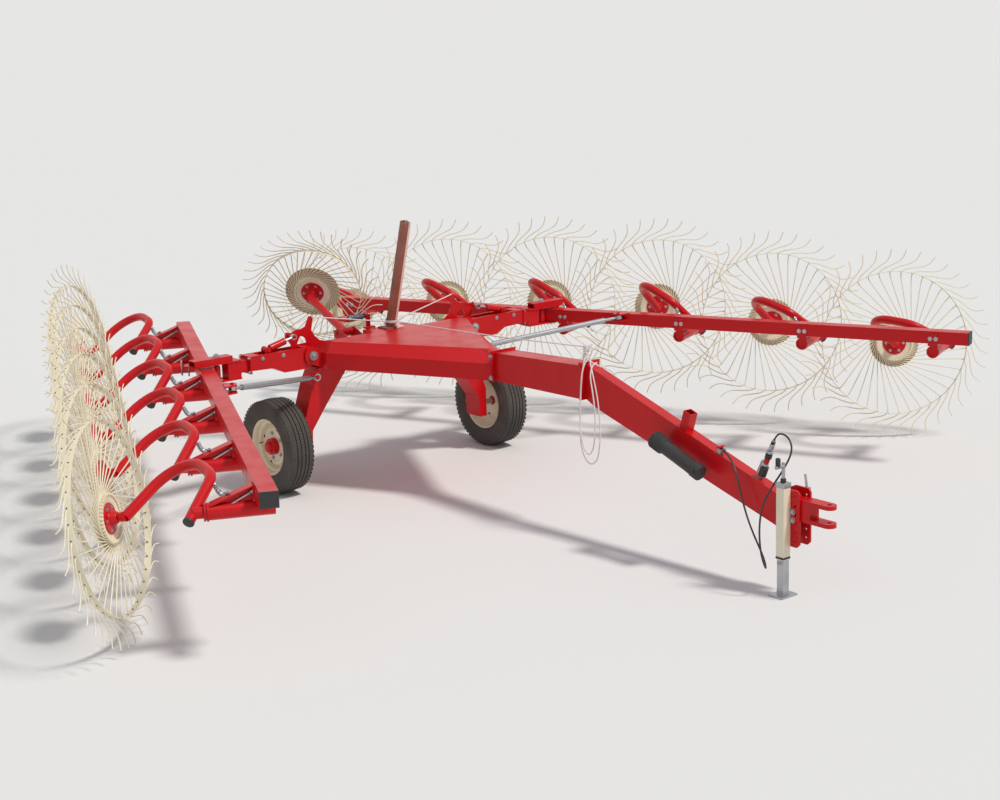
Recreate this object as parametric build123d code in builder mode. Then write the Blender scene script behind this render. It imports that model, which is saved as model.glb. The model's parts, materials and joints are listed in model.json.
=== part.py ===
from build123d import *
from math import asin, atan2, cos, degrees, pi, radians, sin, sqrt, tan
import os

# Folded wheel rake, drawn in millimetres. Travel is towards -Y, +X is the machine's left,
# +Z is up. The origin lies on the floor, midway between the two transport wheels.

os.makedirs("parts", exist_ok=True)

# Clearances
plate_gap = 6  # between a moving piece and a plate beside it
seat_gap = 0.3  # between pieces of different bodies that bear on each other
fit_gap = 0.05  # radial, between a pin and its bore
plate = 12  # thickness of the heavy lugs and ears

# Transport wheels
tyre_radius = 331.5
tyre_width = 205
bead_radius = 192
track_half = 947
spindle_radius = 20

# Centre frame
frame_top = 1040
frame_bend = 965
frame_bottom = 852
frame_rear = 20
top_rear = -140
frame_half = 640
top_half = frame_half - 55
apex_y = -1340
tab_half = 190
tab_rear = 0

# Wing pivot, which lifts a wing about an axis along the machine
fold_x = frame_half + 68
fold_z = frame_bottom + 97
fold_pin_radius = 20
arm_width = 120
arm_y = -60
ear_radius = 62

# Rake beams, one on each wing
beam_angle = 24.64
beam_length = 5013
beam_width = 100
beam_height = 88
beam_rear_x = fold_x + 34
beam_rear_y = 1597
beam_top = fold_z + 26
beam_wall = 6

# Swing pivot between wing and beam, measured on the beam
swing_along = 1790
swing_pin_radius = 14
swing_tube_radius = 24
swing_inside = beam_width / 2 + swing_tube_radius - 2

# Stations of the rake wheels along the beam
station_count = 6
station_start = 144
station_end = 176.5
station_pitch = (beam_length - station_start - station_end) / (station_count - 1)

# Wheel arm: its pivot tube crosses under the beam
sleeve_along = -62
sleeve_drop = 145.5
sleeve_radius = 44
sleeve_inner = -55
sleeve_outer = 285
arm_tube_radius = 30
left_floats = (0, 13, 19, 20.5, 12, 0)  # degrees that each left arm stands raised; the right ones hang low

# Rake wheel
rim_radius = 531
rim_band = 40
rim_wall = 4
tine_count = 40
tine_size = 7
tine_offset = 125  # a tine's straight part passes the wheel's middle at this distance
tine_reach = 169  # beyond the ring
dish_radius = 204
dish_wall = 5
clamp_radius = 150
hub_radius = 85
hub_wall = 8
hub_back = 9
stub_radius = 17
wheel_yaw = -22.3
wheel_lean = -8.52

# Kicker wheel behind the centre frame
kicker_hub = (0, 922.5, 1179)
kicker_yaw = 43.6
kicker_dip = 21.8
kicker_rim = 367.5

# Tongue
root_width = 150
root_top = 1055
root_bottom = 853
bend_y = -2200
bend_rise = 25
neck_width = 76
neck_top_rear = 1060
neck_bottom_rear = 826
neck_rear_y = -2285
neck_top_front = 560
neck_bottom_front = 372
neck_front_y = -3850

# Hitch
cheek_top = 620
cheek_bottom = 290
cheek_rear_y = -3880
cheek_front_y = -3995
tang_upper = 560
tang_lower = 456
tang_wall = 24
tang_hole_y = -4168
tang_half = 40
hitch_pin_radius = 15

# Jack
jack_size = 56
jack_wall = 4
jack_top = 645
jack_skirt = 215
leg_gap = 0.4  # all round the jack's leg in its tube
foot_size = 130
foot_wall = 10


def keep(builder, name):
    """Store a finished piece, moved to the frame of the whole machine."""
    piece = builder.part.moved(to_middle)
    piece.label = name
    export_step(piece, f"parts/{name}.step")


def mirrored(name, source):
    """Store the same piece on the machine's right."""
    with BuildPart() as twin:
        mirror(source, about=Plane.YZ)
    keep(twin, name)


# Beam frame: x runs forward along the beam, y outward, z up, from the rear end's top
along = Vector(sin(radians(beam_angle)), -cos(radians(beam_angle)), 0)
outward = Vector(cos(radians(beam_angle)), sin(radians(beam_angle)), 0)
beam_rear = Vector(beam_rear_x, beam_rear_y, beam_top)
beam_plane = Plane(origin=beam_rear, x_dir=along, z_dir=(0, 0, 1))


def on_beam(a, b, c):
    return beam_rear + along * a + outward * b + Vector(0, 0, c)


swing_point = on_beam(swing_along, -swing_inside, 0)

# Fixed points of every station, measured on the beam
stations = [station_start + index * station_pitch for index in range(station_count)]
arm_foot = (-32.8, 385.5, -172.5)
arm_across = along * -0.8349 + outward * 0.532 + Vector(0, 0, -0.1412)
arm_normal = along * -0.1966 + outward * -0.5399 + Vector(0, 0, -0.8184)
wheel_offset = (-540, 768.5, -265.5)
lean = radians(wheel_lean)
spin_flat = outward * cos(radians(wheel_yaw)) + along * sin(radians(wheel_yaw))
spin_axis = spin_flat * cos(lean) + Vector(0, 0, sin(lean))
sleeve_wall = 12
web_wall = 8
arm_wall = 5
spindle_inner = 88
spindle_outer = 36
tip_radius = rim_radius + tine_reach


def pivot_line(station):
    """The line that a wheel arm turns about, with the angle raising the wheel."""
    return Axis(tuple(on_beam(station + sleeve_along, 0, -sleeve_drop)), tuple(outward))


def raised(station, place, angle):
    """Where a point of a wheel arm stands once the arm is raised, from its station on the beam."""
    turned_x = (place[0] - sleeve_along) * cos(radians(angle)) + (place[2] + sleeve_drop) * sin(radians(angle))
    turned_z = (place[2] + sleeve_drop) * cos(radians(angle)) - (place[0] - sleeve_along) * sin(radians(angle))
    return on_beam(station + sleeve_along + turned_x, place[1], turned_z - sleeve_drop)


# The finished machine stands with the middle of its length over the origin
rear_hub = on_beam(station_start + wheel_offset[0], wheel_offset[1], wheel_offset[2])
rear_reach = rear_hub.Y + tip_radius * sqrt(1 - spin_axis.Y**2)
front_reach = tang_hole_y - tang_half
to_middle = Location((0, -(front_reach + rear_reach) / 2, 0))
print("middle of the length lies at y =", round((front_reach + rear_reach) / 2, 3))

# Centre frame: a flat triangular box with chamfered upper edges, ears and crossmember
with BuildPart() as centre_frame:
    with BuildSketch(Plane.XY.offset(frame_bottom)):
        with BuildLine():
            Polyline(
                (-frame_half, frame_rear), (frame_half, frame_rear), (frame_half, -200),
                (root_width / 2, apex_y), (-root_width / 2, apex_y), (-frame_half, -200), close=True,
            )
        make_face()
    extrude(amount=frame_bend - frame_bottom)
    with BuildSketch(Plane.XY.offset(frame_bend)):
        with BuildLine():
            Polyline(
                (-frame_half, frame_rear), (frame_half, frame_rear), (frame_half, -200),
                (root_width / 2, apex_y), (-root_width / 2, apex_y), (-frame_half, -200), close=True,
            )
        make_face()
    with BuildSketch(Plane.XY.offset(frame_top)):
        with BuildLine():
            Polyline(
                (-top_half, top_rear), (top_half, top_rear), (top_half, -215),
                (10, apex_y + 150), (-10, apex_y + 150), (-top_half, -215), close=True,
            )
        make_face()
    loft()
    with BuildSketch(Plane.XY.offset(frame_bend)):
        with Locations((0, (top_rear + tab_rear) / 2 - 5)):
            Rectangle(2 * tab_half, tab_rear - top_rear + 10)
    extrude(amount=frame_top - frame_bend)
keep(centre_frame, "centre_frame")

# Legs: tapered boxes from the frame down to the spindles
wheel_clearance = 39.5  # between a leg and its tyre
leg_side = track_half - tyre_width / 2 - wheel_clearance
leg_knee = tyre_radius + 138.5
leg_foot = tyre_radius - 69.5
leg_outline = [
    (frame_half - 240, frame_bottom), (frame_half + 20, frame_bottom), (leg_side - 90, frame_bottom - 112),
    (leg_side, leg_knee), (leg_side, leg_foot), (leg_side - 60, leg_foot), (leg_side - 70, leg_knee - 50),
    (leg_side - 185, frame_bottom - 277),
]
leg_front = -130
leg_rear = 32
with BuildPart() as frame_legs:
    with BuildSketch(Plane.XZ.offset(-leg_rear)):
        for side in (1, -1):
            with BuildLine():
                Polyline(*[(side * x, z) for x, z in leg_outline], close=True)
            make_face()
    extrude(amount=leg_rear - leg_front)
keep(frame_legs, "frame_legs")

# Spindles with their round flanges
flange_wall = 20
with BuildPart() as axle_spindles:
    for side in (1, -1):
        with BuildSketch(Plane.YZ.offset(side * leg_side)):
            with Locations((0, tyre_radius)):
                Circle(spindle_radius + 28)
        extrude(amount=side * flange_wall)
        with BuildSketch(Plane.YZ.offset(side * (leg_side + flange_wall))):
            with Locations((0, tyre_radius)):
                Circle(spindle_radius)
        extrude(amount=side * (track_half + 60 - leg_side - flange_wall))
keep(axle_spindles, "axle_spindles")

# Transport wheel: tyre and steel rim with its hub
tyre_half = tyre_width / 2
rim_half = tyre_half - 26.5
tread_half = tyre_half - 24.5
tread_edge = tyre_radius - 9.5
sidewall_radius = (bead_radius + tyre_radius) / 2
hub_drum = spindle_radius + 38
for side, name in ((1, "left"), (-1, "right")):
    spin = Plane(origin=(side * track_half, 0, tyre_radius), x_dir=(0, 1, 0), z_dir=(1, 0, 0))
    with BuildPart(spin) as tyre:
        with BuildSketch(Plane(origin=spin.origin, x_dir=(1, 0, 0), z_dir=(0, -1, 0))):
            with BuildLine():
                Polyline((-rim_half, bead_radius), (rim_half, bead_radius))
                ThreePointArc((rim_half, bead_radius), (tyre_half, sidewall_radius), (tread_half, tread_edge))
                ThreePointArc((tread_half, tread_edge), (0, tyre_radius), (-tread_half, tread_edge))
                ThreePointArc((-tread_half, tread_edge), (-tyre_half, sidewall_radius), (-rim_half, bead_radius))
            make_face()
        revolve(axis=Axis((side * track_half, 0, tyre_radius), (1, 0, 0)))
    keep(tyre, f"tyre_{name}")
    with BuildPart() as rim:
        with BuildSketch(Plane(origin=spin.origin, x_dir=(side, 0, 0), z_dir=(0, -side, 0))):
            with BuildLine():
                Polyline(
                    (-rim_half, bead_radius), (-rim_half, bead_radius - 12), (16 - rim_half, bead_radius - 20),
                    (8, bead_radius - 20), (14, bead_radius - 42), (14, hub_drum), (6 - rim_half, hub_drum),
                    (6 - rim_half, spindle_radius + fit_gap), (rim_half - 1, spindle_radius + fit_gap),
                    (rim_half - 1, hub_drum - 18), (22, hub_drum), (22, bead_radius - 36),
                    (rim_half - 16, bead_radius - 12), (rim_half, bead_radius - 6), (rim_half, bead_radius),
                    close=True,
                )
            make_face()
        revolve(axis=Axis((side * track_half, 0, tyre_radius), (1, 0, 0)))
    keep(rim, f"wheel_rim_{name}")

# Lift cylinder, short and stout, from the wing arm's lugs to a pin on the hook plate
barrel_base = Vector(fold_x + 325, arm_y, fold_z + 79)
rod_eye = Vector(fold_x + 100, arm_y, fold_z + 135)
barrel_radius = 24
barrel_start = 30
barrel_length = 156  # the rod's eye comes 52 closer as the wing rises
rod_radius = 10
rod_start = 104  # how deep the rod's end stands in the barrel, from the base pin
cylinder_pin = 10
hook_pin = 8
rod_play = 4.6  # the rod's eye is where the lift's linkage is opened, and drifts by 3.8 as the wing rises
eye_radius = 20
eye_wall = 24

# Ears and hook plates that carry the wing pins, on the front and rear of the frame's ends
ear_front = arm_y - arm_width / 2 - plate_gap
ear_rear = arm_y + arm_width / 2 + plate_gap
with BuildPart() as wing_ears:
    for side in (1, -1):
        with BuildSketch(Plane.XZ.offset(-ear_front)):
            with BuildLine():
                Polyline(
                    (side * frame_half, frame_bottom), (side * fold_x, fold_z - ear_radius),
                    (side * (fold_x + ear_radius), fold_z), (side * fold_x, fold_z + ear_radius),
                    (side * frame_half, frame_bend), close=True,
                )
            make_face()
            with Locations((side * fold_x, fold_z)):
                Circle(ear_radius)
                Circle(fold_pin_radius + 0.3, mode=Mode.SUBTRACT)
        extrude(amount=plate)
keep(wing_ears, "wing_ears")

with BuildPart() as hook_plates:
    for side in (1, -1):
        with BuildSketch(Plane.XZ.offset(-ear_rear)):
            with BuildLine():
                Polyline(
                    (side * (frame_half + 0.3), frame_bottom), (side * fold_x, fold_z - ear_radius),
                    (side * (fold_x + ear_radius), fold_z), (side * (fold_x + 82), fold_z + 71),
                    (side * (rod_eye.X + 24), rod_eye.Z - 10), (side * (rod_eye.X + 14), rod_eye.Z + 24),
                    (side * (fold_x + 75), fold_z + 149), (side * (fold_x + 33), fold_z + 166),
                    (side * (fold_x - 14), fold_z + 168), (side * (fold_x - 45), fold_z + 181),
                    (side * (fold_x - 76), fold_z + 246), (side * (fold_x - 110), fold_z + 246),
                    (side * (fold_x - 90), fold_z + 148), (side * (fold_x - 118), fold_z + 100),
                    (side * (fold_x - 157), fold_z + 68), (side * (fold_x - 228), fold_z + 48),
                    (side * (fold_x - 228), frame_bend + 7.3), (side * (frame_half + 0.3), frame_bend + 7.3),
                    close=True,
                )
            make_face()
            # the throat that holds the folded wing
            with BuildLine():
                Polyline(
                    (side * (fold_x + 32), fold_z + 63), (side * (fold_x - 47), fold_z + 66),
                    (side * (fold_x - 41), fold_z + 94), (side * (fold_x - 16), fold_z + 116),
                    (side * (fold_x + 5), fold_z + 116), (side * (fold_x + 25), fold_z + 84), close=True,
                )
            make_face(mode=Mode.SUBTRACT)
            with Locations((side * fold_x, fold_z)):
                Circle(fold_pin_radius + 0.3, mode=Mode.SUBTRACT)
        extrude(amount=-plate)
        with BuildSketch(Plane.XZ.offset(-ear_rear)):
            with Locations((side * rod_eye.X, rod_eye.Z)):
                Circle(hook_pin)
        extrude(amount=ear_rear - arm_y + eye_wall / 2 + 10)
keep(hook_plates, "hook_plates")

with BuildPart() as fold_pins:
    for side in (1, -1):
        with BuildSketch(Plane.XZ.offset(-ear_rear - plate - 4)):
            with Locations((side * fold_x, fold_z)):
                Circle(fold_pin_radius)
        extrude(amount=ear_rear - ear_front + 2 * plate + 8)
        with BuildSketch(Plane.XZ.offset(-ear_front + plate + 0.2)):
            with Locations((side * fold_x, fold_z)):
                Circle(fold_pin_radius + 12)
        extrude(amount=14)
keep(fold_pins, "fold_pins")

# Wing arm: tapered box on the fold pin
arm_end = swing_point.X - 233
wing_outline = [
    (fold_x - 30, fold_z - 50), (fold_x - 30, fold_z + 50), (fold_x + 100, fold_z + 62),
    (arm_end, fold_z + 63), (arm_end, fold_z - 37), (fold_x + 307, fold_z - 44), (fold_x + 222, fold_z - 87),
    (fold_x + 40, fold_z - 88),
]
channel_floor = fold_z + 26
channel_start = fold_x + 45
channel_end = arm_end - 70
channel_wall = 14
with BuildPart() as wing_arm:
    with BuildSketch(Plane.XZ.offset(-arm_y - arm_width / 2)):
        with BuildLine():
            Polyline(*wing_outline, close=True)
        make_face()
        with Locations((fold_x, fold_z)):
            Circle(fold_pin_radius + fit_gap, mode=Mode.SUBTRACT)
    extrude(amount=arm_width)
    with BuildSketch(Plane.XY.offset(channel_floor)):
        with Locations(((channel_start + channel_end) / 2, arm_y)):
            Rectangle(channel_end - channel_start, arm_width - 2 * channel_wall)
    extrude(amount=100, mode=Mode.SUBTRACT)
    for low in (arm_y - eye_wall / 2 - plate_gap - plate, arm_y + eye_wall / 2 + plate_gap):
        with BuildSketch(Plane.XZ.offset(-low)):
            with Locations((barrel_base.X, (channel_floor + barrel_base.Z) / 2)):
                Rectangle(44, barrel_base.Z - channel_floor)
            with Locations((barrel_base.X, barrel_base.Z)):
                Circle(22)
        extrude(amount=-plate)
    with BuildSketch(Plane.XZ.offset(-arm_y + eye_wall / 2 + plate_gap + plate + 6)):
        with Locations((barrel_base.X, barrel_base.Z)):
            Circle(cylinder_pin)
    extrude(amount=-eye_wall - 2 * plate_gap - 2 * plate - 12)
keep(wing_arm, "wing_arm_left")
mirrored("wing_arm_right", wing_arm.part)

# Wing head: square tube and the two fork plates that hold the beam's swing pivot
fork_gap = 8
fork_wall = 10
fork_bottom = beam_top - beam_height - fork_gap
fork_top = beam_top + 16
fork_rear_x = swing_point.X - 163
fork_post_x = swing_point.X - 113
head_end = swing_point.X - 63
head_width = 84
head_height = 82
rib_rear = 103
rib_front = 187
rib_width = 80
rib_height = 36
rib_wall = 7
fork_outline = [
    (fork_rear_x, arm_y - 50), (fork_rear_x, arm_y + 50), (swing_point.X + 177, arm_y + 100),
    (swing_point.X + 217, arm_y + 60), (swing_point.X + 207, arm_y - 25), (swing_point.X + 167, arm_y - 50),
]
with BuildPart() as wing_head:
    with BuildSketch(Plane.YZ.offset(arm_end)):
        with Locations((arm_y, fold_z + 1)):
            Rectangle(head_width, head_height)
    extrude(amount=head_end - arm_end)
    with BuildSketch(Plane.YZ.offset(arm_end)):
        with Locations((arm_y, fold_z + 4)):
            Rectangle(arm_width + 16, arm_width)
    extrude(amount=plate)
    # stiffening channel over the fork's upper plate
    with BuildSketch(Plane.YZ.offset(swing_point.X - rib_rear)):
        with Locations((arm_y, fork_top + fork_wall + rib_height / 2)):
            Rectangle(rib_width, rib_height)
        with Locations((arm_y, fork_top + fork_wall + (rib_height - rib_wall) / 2)):
            Rectangle(rib_width - 2 * rib_wall, rib_height - rib_wall, mode=Mode.SUBTRACT)
    extrude(amount=rib_rear + rib_front)
    for low in (fork_bottom - fork_wall, fork_top):
        with BuildSketch(Plane.XY.offset(low)):
            with BuildLine():
                Polyline(*fork_outline, close=True)
            make_face()
            with Locations((swing_point.X, swing_point.Y)):
                Circle(swing_pin_radius, mode=Mode.SUBTRACT)
        extrude(amount=fork_wall)
    with BuildSketch(Plane.XY.offset(fork_bottom)):
        with Locations((fork_post_x, arm_y)):
            Rectangle(2 * (head_end - fork_post_x), head_width)
    extrude(amount=fork_top - fork_bottom)
    with BuildSketch(Plane.XY.offset(fork_bottom - fork_wall - 6)):
        with Locations((swing_point.X, swing_point.Y)):
            Circle(swing_pin_radius)
    extrude(amount=fork_top - fork_bottom + 2 * fork_wall + 26)
keep(wing_head, "wing_head_left")
mirrored("wing_head_right", wing_head.part)

# Rake beam: square tube with a pivot tube welded on its inner face
with BuildPart(beam_plane) as beam:
    with BuildSketch(Plane(origin=beam_rear, x_dir=outward, z_dir=along)):
        with Locations((0, -beam_height / 2)):
            Rectangle(beam_width, beam_height)
            Rectangle(beam_width - 2 * beam_wall, beam_height - 2 * beam_wall, mode=Mode.SUBTRACT)
    extrude(amount=beam_length)
    with BuildSketch(Plane.XY.offset(beam_top - beam_height)):
        with Locations((swing_point.X, swing_point.Y)):
            Circle(swing_tube_radius)
    extrude(amount=beam_height)
    with BuildSketch(Plane.XY.offset(beam_top - beam_height)):
        with Locations((swing_point.X, swing_point.Y)):
            Circle(swing_pin_radius + fit_gap)
    extrude(amount=beam_height, mode=Mode.SUBTRACT)
keep(beam, "beam_left")
mirrored("beam_right", beam.part)

# Brackets on the beam: the tubes that the wheel arms turn in, and the lugs of the link
link_inner = Vector(fold_x - 2, leg_front - 38, frame_bottom - 50)
lug_along = swing_along + 651
lug_inside = -beam_width / 2 - 54
link_outer = on_beam(lug_along, lug_inside, -20)
link_turn = Vector(-0.067, 0.173, 0.983).normalized()  # the outer pin leans with the lifted wing
link_pin = 12
link_play = 4.4  # the inner eye is where the link is opened, and drifts as the wing rises
link_eye = 26
link_wall = 26
link_radius = 19
link_neck = 110
link_screw = 11
lug_wall = 10
lug_upper = link_outer.Z + link_wall / 2 + plate_gap
lug_lower = link_outer.Z - link_wall / 2 - plate_gap
beam_face = -beam_width / 2 - seat_gap
saddle_width = 70
saddle_base = sleeve_radius - sleeve_drop - 3
gusset_low = sleeve_radius - sleeve_drop - 2
with BuildPart() as beam_brackets:
    for station in stations:
        middle = station + sleeve_along
        # saddle: cheeks on both faces of the beam, a base under it, and a flanged gusset out to the sleeve's end
        with BuildSketch(Plane(origin=on_beam(middle - saddle_width / 2, 0, 0), x_dir=outward, z_dir=along)):
            with BuildLine():
                Polyline(
                    (beam_face - web_wall, -18), (beam_face, -18), (beam_face, -beam_height - seat_gap),
                    (-beam_face, -beam_height - seat_gap), (-beam_face, -18), (web_wall - beam_face, -18),
                    (web_wall - beam_face, saddle_base), (beam_face - web_wall, saddle_base), close=True,
                )
            make_face()
        extrude(amount=saddle_width)
        with BuildSketch(Plane(origin=on_beam(middle - web_wall / 2, 0, 0), x_dir=outward, z_dir=along)):
            with BuildLine():
                Polyline(
                    (web_wall - beam_face - 2, -24), (sleeve_outer - 20, gusset_low - 2), (sleeve_outer - 20, -sleeve_drop),
                    (web_wall - beam_face - 2, -sleeve_drop), close=True,
                )
            make_face()
            with BuildLine():
                Polyline((0, saddle_base + 2), (sleeve_outer - 20, saddle_base + 2), (sleeve_outer - 20, -sleeve_drop), (0, -sleeve_drop), close=True)
            make_face()
        extrude(amount=web_wall)
        with BuildSketch(Plane(origin=on_beam(middle - saddle_width / 2, 0, 0), x_dir=outward, z_dir=along)):
            with BuildLine():
                Polyline(
                    (web_wall - beam_face - 1, -18), (sleeve_outer - 6, gusset_low), (sleeve_outer - 6, gusset_low - web_wall),
                    (web_wall - beam_face - 1, -18 - web_wall), close=True,
                )
            make_face()
        extrude(amount=saddle_width)
        with BuildSketch(Plane(origin=on_beam(middle, sleeve_inner, -sleeve_drop), x_dir=along, z_dir=outward)):
            Circle(sleeve_radius)
        extrude(amount=sleeve_outer - sleeve_inner)
        with BuildSketch(Plane(origin=on_beam(middle, sleeve_inner, -sleeve_drop), x_dir=along, z_dir=outward)):
            Circle(sleeve_radius - sleeve_wall)
        extrude(amount=sleeve_outer - sleeve_inner, mode=Mode.SUBTRACT)
    for low in (lug_upper, lug_lower - lug_wall):
        with BuildSketch(Plane(origin=(beam_rear.X, beam_rear.Y, low), x_dir=along, z_dir=(0, 0, 1))):
            with BuildLine():
                Polyline(
                    (lug_along - 70, beam_face), (lug_along + 70, beam_face),
                    (lug_along + 30, lug_inside - 28), (lug_along - 30, lug_inside - 28), close=True,
                )
            make_face()
        extrude(amount=lug_wall)
    with BuildSketch(Plane(origin=on_beam(lug_along, beam_face, link_outer.Z - beam_top), x_dir=along, z_dir=-outward)):
        Rectangle(140, 2 * lug_wall + lug_upper - lug_lower)
    extrude(amount=web_wall)
    with BuildSketch(Plane(origin=link_outer - link_turn * (link_wall / 2 + plate_gap + lug_wall), z_dir=link_turn)):
        Circle(link_pin)
    extrude(amount=link_wall + 2 * plate_gap + 2 * lug_wall + 10)
keep(beam_brackets, "beam_brackets_left")
mirrored("beam_brackets_right", beam_brackets.part)

# Wheel arms: a bent tube from its pivot under the beam to the wheel's spindle
with BuildPart() as one_arm:
    foot = on_beam(arm_foot[0], arm_foot[1], arm_foot[2])
    arm_plane = Plane(origin=foot, x_dir=arm_across, z_dir=arm_normal)
    with BuildLine(arm_plane) as arm_line:
        FilletPolyline((-4, 12), (102.5, -315), (499, -476.5), (568, 2), radius=(144, 211))
    with BuildSketch(Plane(origin=arm_line.line @ 0, z_dir=arm_line.line % 0)):
        Circle(arm_tube_radius)
    sweep(path=arm_line.line)
    with BuildSketch(Plane(origin=on_beam(sleeve_along, sleeve_inner + 10, -sleeve_drop), x_dir=along, z_dir=outward)):
        Circle(sleeve_radius - sleeve_wall - seat_gap)
    extrude(amount=arm_foot[1] - 19 - sleeve_inner - 10)
    # collars between the sleeve's end and the tube: distance out, radius, width
    for step, radius, width in ((0, 50, 10), (9, 42, 8), (16, 48, 9)):
        with BuildSketch(Plane(origin=on_beam(sleeve_along, sleeve_outer + seat_gap + step, -sleeve_drop), x_dir=along, z_dir=outward)):
            Circle(radius)
        extrude(amount=width)
    hub_point = on_beam(wheel_offset[0], wheel_offset[1], wheel_offset[2])
    with BuildSketch(Plane(origin=hub_point - spin_axis * (spindle_inner + 8), z_dir=spin_axis)):
        Circle(arm_tube_radius)
    with BuildSketch(Plane(origin=hub_point - spin_axis * 55, z_dir=spin_axis)):
        Circle(24)
    loft()
    with BuildSketch(Plane(origin=hub_point - spin_axis * 60, z_dir=spin_axis)):
        Circle(stub_radius)
    extrude(amount=60 + spindle_outer)
with BuildPart() as rake_arms:
    for station, angle in zip(stations, left_floats):
        with Locations(Location(tuple(along * station))):
            add(one_arm.part.rotate(pivot_line(0), angle))
keep(rake_arms, "rake_arms_left")
with BuildPart() as low_arms:
    for station in stations:
        with Locations(Location(tuple(along * station))):
            add(one_arm.part)
mirrored("rake_arms_right", low_arms.part)

# End caps of the beams
with BuildPart() as beam_cap:
    with BuildSketch(Plane(origin=on_beam(beam_length + seat_gap, 0, -beam_height / 2), x_dir=outward, z_dir=along)):
        Rectangle(beam_width, beam_height)
    extrude(amount=8)
keep(beam_cap, "beam_cap_left")
mirrored("beam_cap_right", beam_cap.part)

# Rake wheel at the origin, its spindle along Z: hub, disc, two-part dish, ring and bent tines.
# A tine runs straight from its clamp in the dish through the ring, bends back along the ring
# and turns out again at its tip.
def at_angle(radius, angle):
    return (radius * cos(radians(angle)), radius * sin(radians(angle)))


def wheel_form(rim):
    half = tine_size / 2
    ring_angle = degrees(asin(tine_offset / rim))
    straight_end = sqrt(rim**2 - tine_offset**2)
    clamp_start = sqrt(clamp_radius**2 - tine_offset**2)
    bow = degrees(0.155 * rim_radius / rim)
    with BuildPart() as form:
        with BuildSketch(Plane.XZ):
            with BuildLine():
                Polyline(
                    (stub_radius + fit_gap, -48), (32, -48), (36, -hub_back), (hub_radius, -hub_back),
                    (hub_radius, hub_wall - hub_back), (clamp_radius - 14, 14), (clamp_radius, -hub_wall / 2),
                    (dish_radius, -2), (dish_radius, tine_size + 2), (clamp_radius, tine_size + hub_wall / 2),
                    (clamp_radius - 14, 14 + dish_wall + 3), (hub_radius - 4, hub_wall - hub_back + dish_wall + 2),
                    (32, 8), (32, 24), (stub_radius + fit_gap, 24), close=True,
                )
            make_face()
            with Locations((rim, 0)):
                Rectangle(rim_wall, rim_band)
        revolve(axis=Axis.Z)
        with BuildPart(mode=Mode.PRIVATE) as tine:
            with BuildSketch():
                with BuildLine():
                    Polyline(
                        (clamp_start, tine_offset - half), (straight_end + 10, tine_offset - half),
                        (straight_end + 14, tine_offset), at_angle(rim + 76, ring_angle + 1.95 * bow),
                        at_angle(rim + 92, ring_angle + 2.25 * bow), at_angle(rim + tine_reach, ring_angle + 2.3 * bow),
                        at_angle(rim + tine_reach, ring_angle + 2.3 * bow + 0.6), at_angle(rim + 86, ring_angle + 2.3 * bow + 0.7),
                        at_angle(rim + 70, ring_angle + 2.1 * bow), (straight_end + 5, tine_offset + half),
                        (clamp_start, tine_offset + half), close=True,
                    )
                make_face()
            extrude(amount=tine_size)
        with PolarLocations(0, tine_count):
            add(tine.part)
    return form.part


rake_wheel = wheel_form(rim_radius)


def placed_wheel(name, hub, axis, source):
    with BuildPart() as wheel:
        with Locations(Location(Plane(origin=hub, z_dir=axis))):
            add(source)
    keep(wheel, name)
    return wheel.part


for index, (station, angle) in enumerate(zip(stations, left_floats)):
    hub = raised(station, wheel_offset, angle)
    placed_wheel(f"rake_wheel_left_{index + 1}", hub, spin_axis.rotate(pivot_line(0), angle), rake_wheel)
    with BuildPart() as low_wheel:
        with Locations(Location(Plane(origin=raised(station, wheel_offset, 0), z_dir=spin_axis))):
            add(rake_wheel)
    mirrored(f"rake_wheel_right_{index + 1}", low_wheel.part)

kicker_axis = Vector(
    sin(radians(kicker_yaw)) * cos(radians(kicker_dip)), cos(radians(kicker_yaw)) * cos(radians(kicker_dip)),
    sin(radians(kicker_dip)),
)
placed_wheel("kicker_wheel", kicker_hub, kicker_axis, wheel_form(kicker_rim))

# Kicker arm: a tube from its bracket on the frame up to the kicker wheel's spindle
kicker_foot = Vector(-200, 215, 1000)
with BuildPart() as kicker_arm:
    hub = Vector(*kicker_hub)
    shoulder = hub - kicker_axis * (spindle_inner + 6)
    with BuildSketch(Plane(origin=kicker_foot, z_dir=shoulder - kicker_foot)):
        Circle(arm_tube_radius)
        Circle(arm_tube_radius - arm_wall, mode=Mode.SUBTRACT)
    extrude(amount=(shoulder - kicker_foot).length)
    with BuildSketch(Plane(origin=hub - kicker_axis * (spindle_inner + 30), z_dir=kicker_axis)):
        Circle(28)
    extrude(amount=spindle_inner + 30 - 55)
    with BuildSketch(Plane(origin=hub - kicker_axis * 60, z_dir=kicker_axis)):
        Circle(stub_radius)
    extrude(amount=60 + spindle_outer)
    with BuildSketch(Plane.YZ.offset(kicker_foot.X - 60)):
        with Locations((kicker_foot.Y, kicker_foot.Z - 5)):
            Circle(32)
    extrude(amount=120)
    with BuildSketch(Plane.YZ.offset(kicker_foot.X - 60)):
        with Locations((kicker_foot.Y, kicker_foot.Z - 5)):
            Circle(15 + seat_gap)
    extrude(amount=120, mode=Mode.SUBTRACT)
keep(kicker_arm, "kicker_arm")

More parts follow.
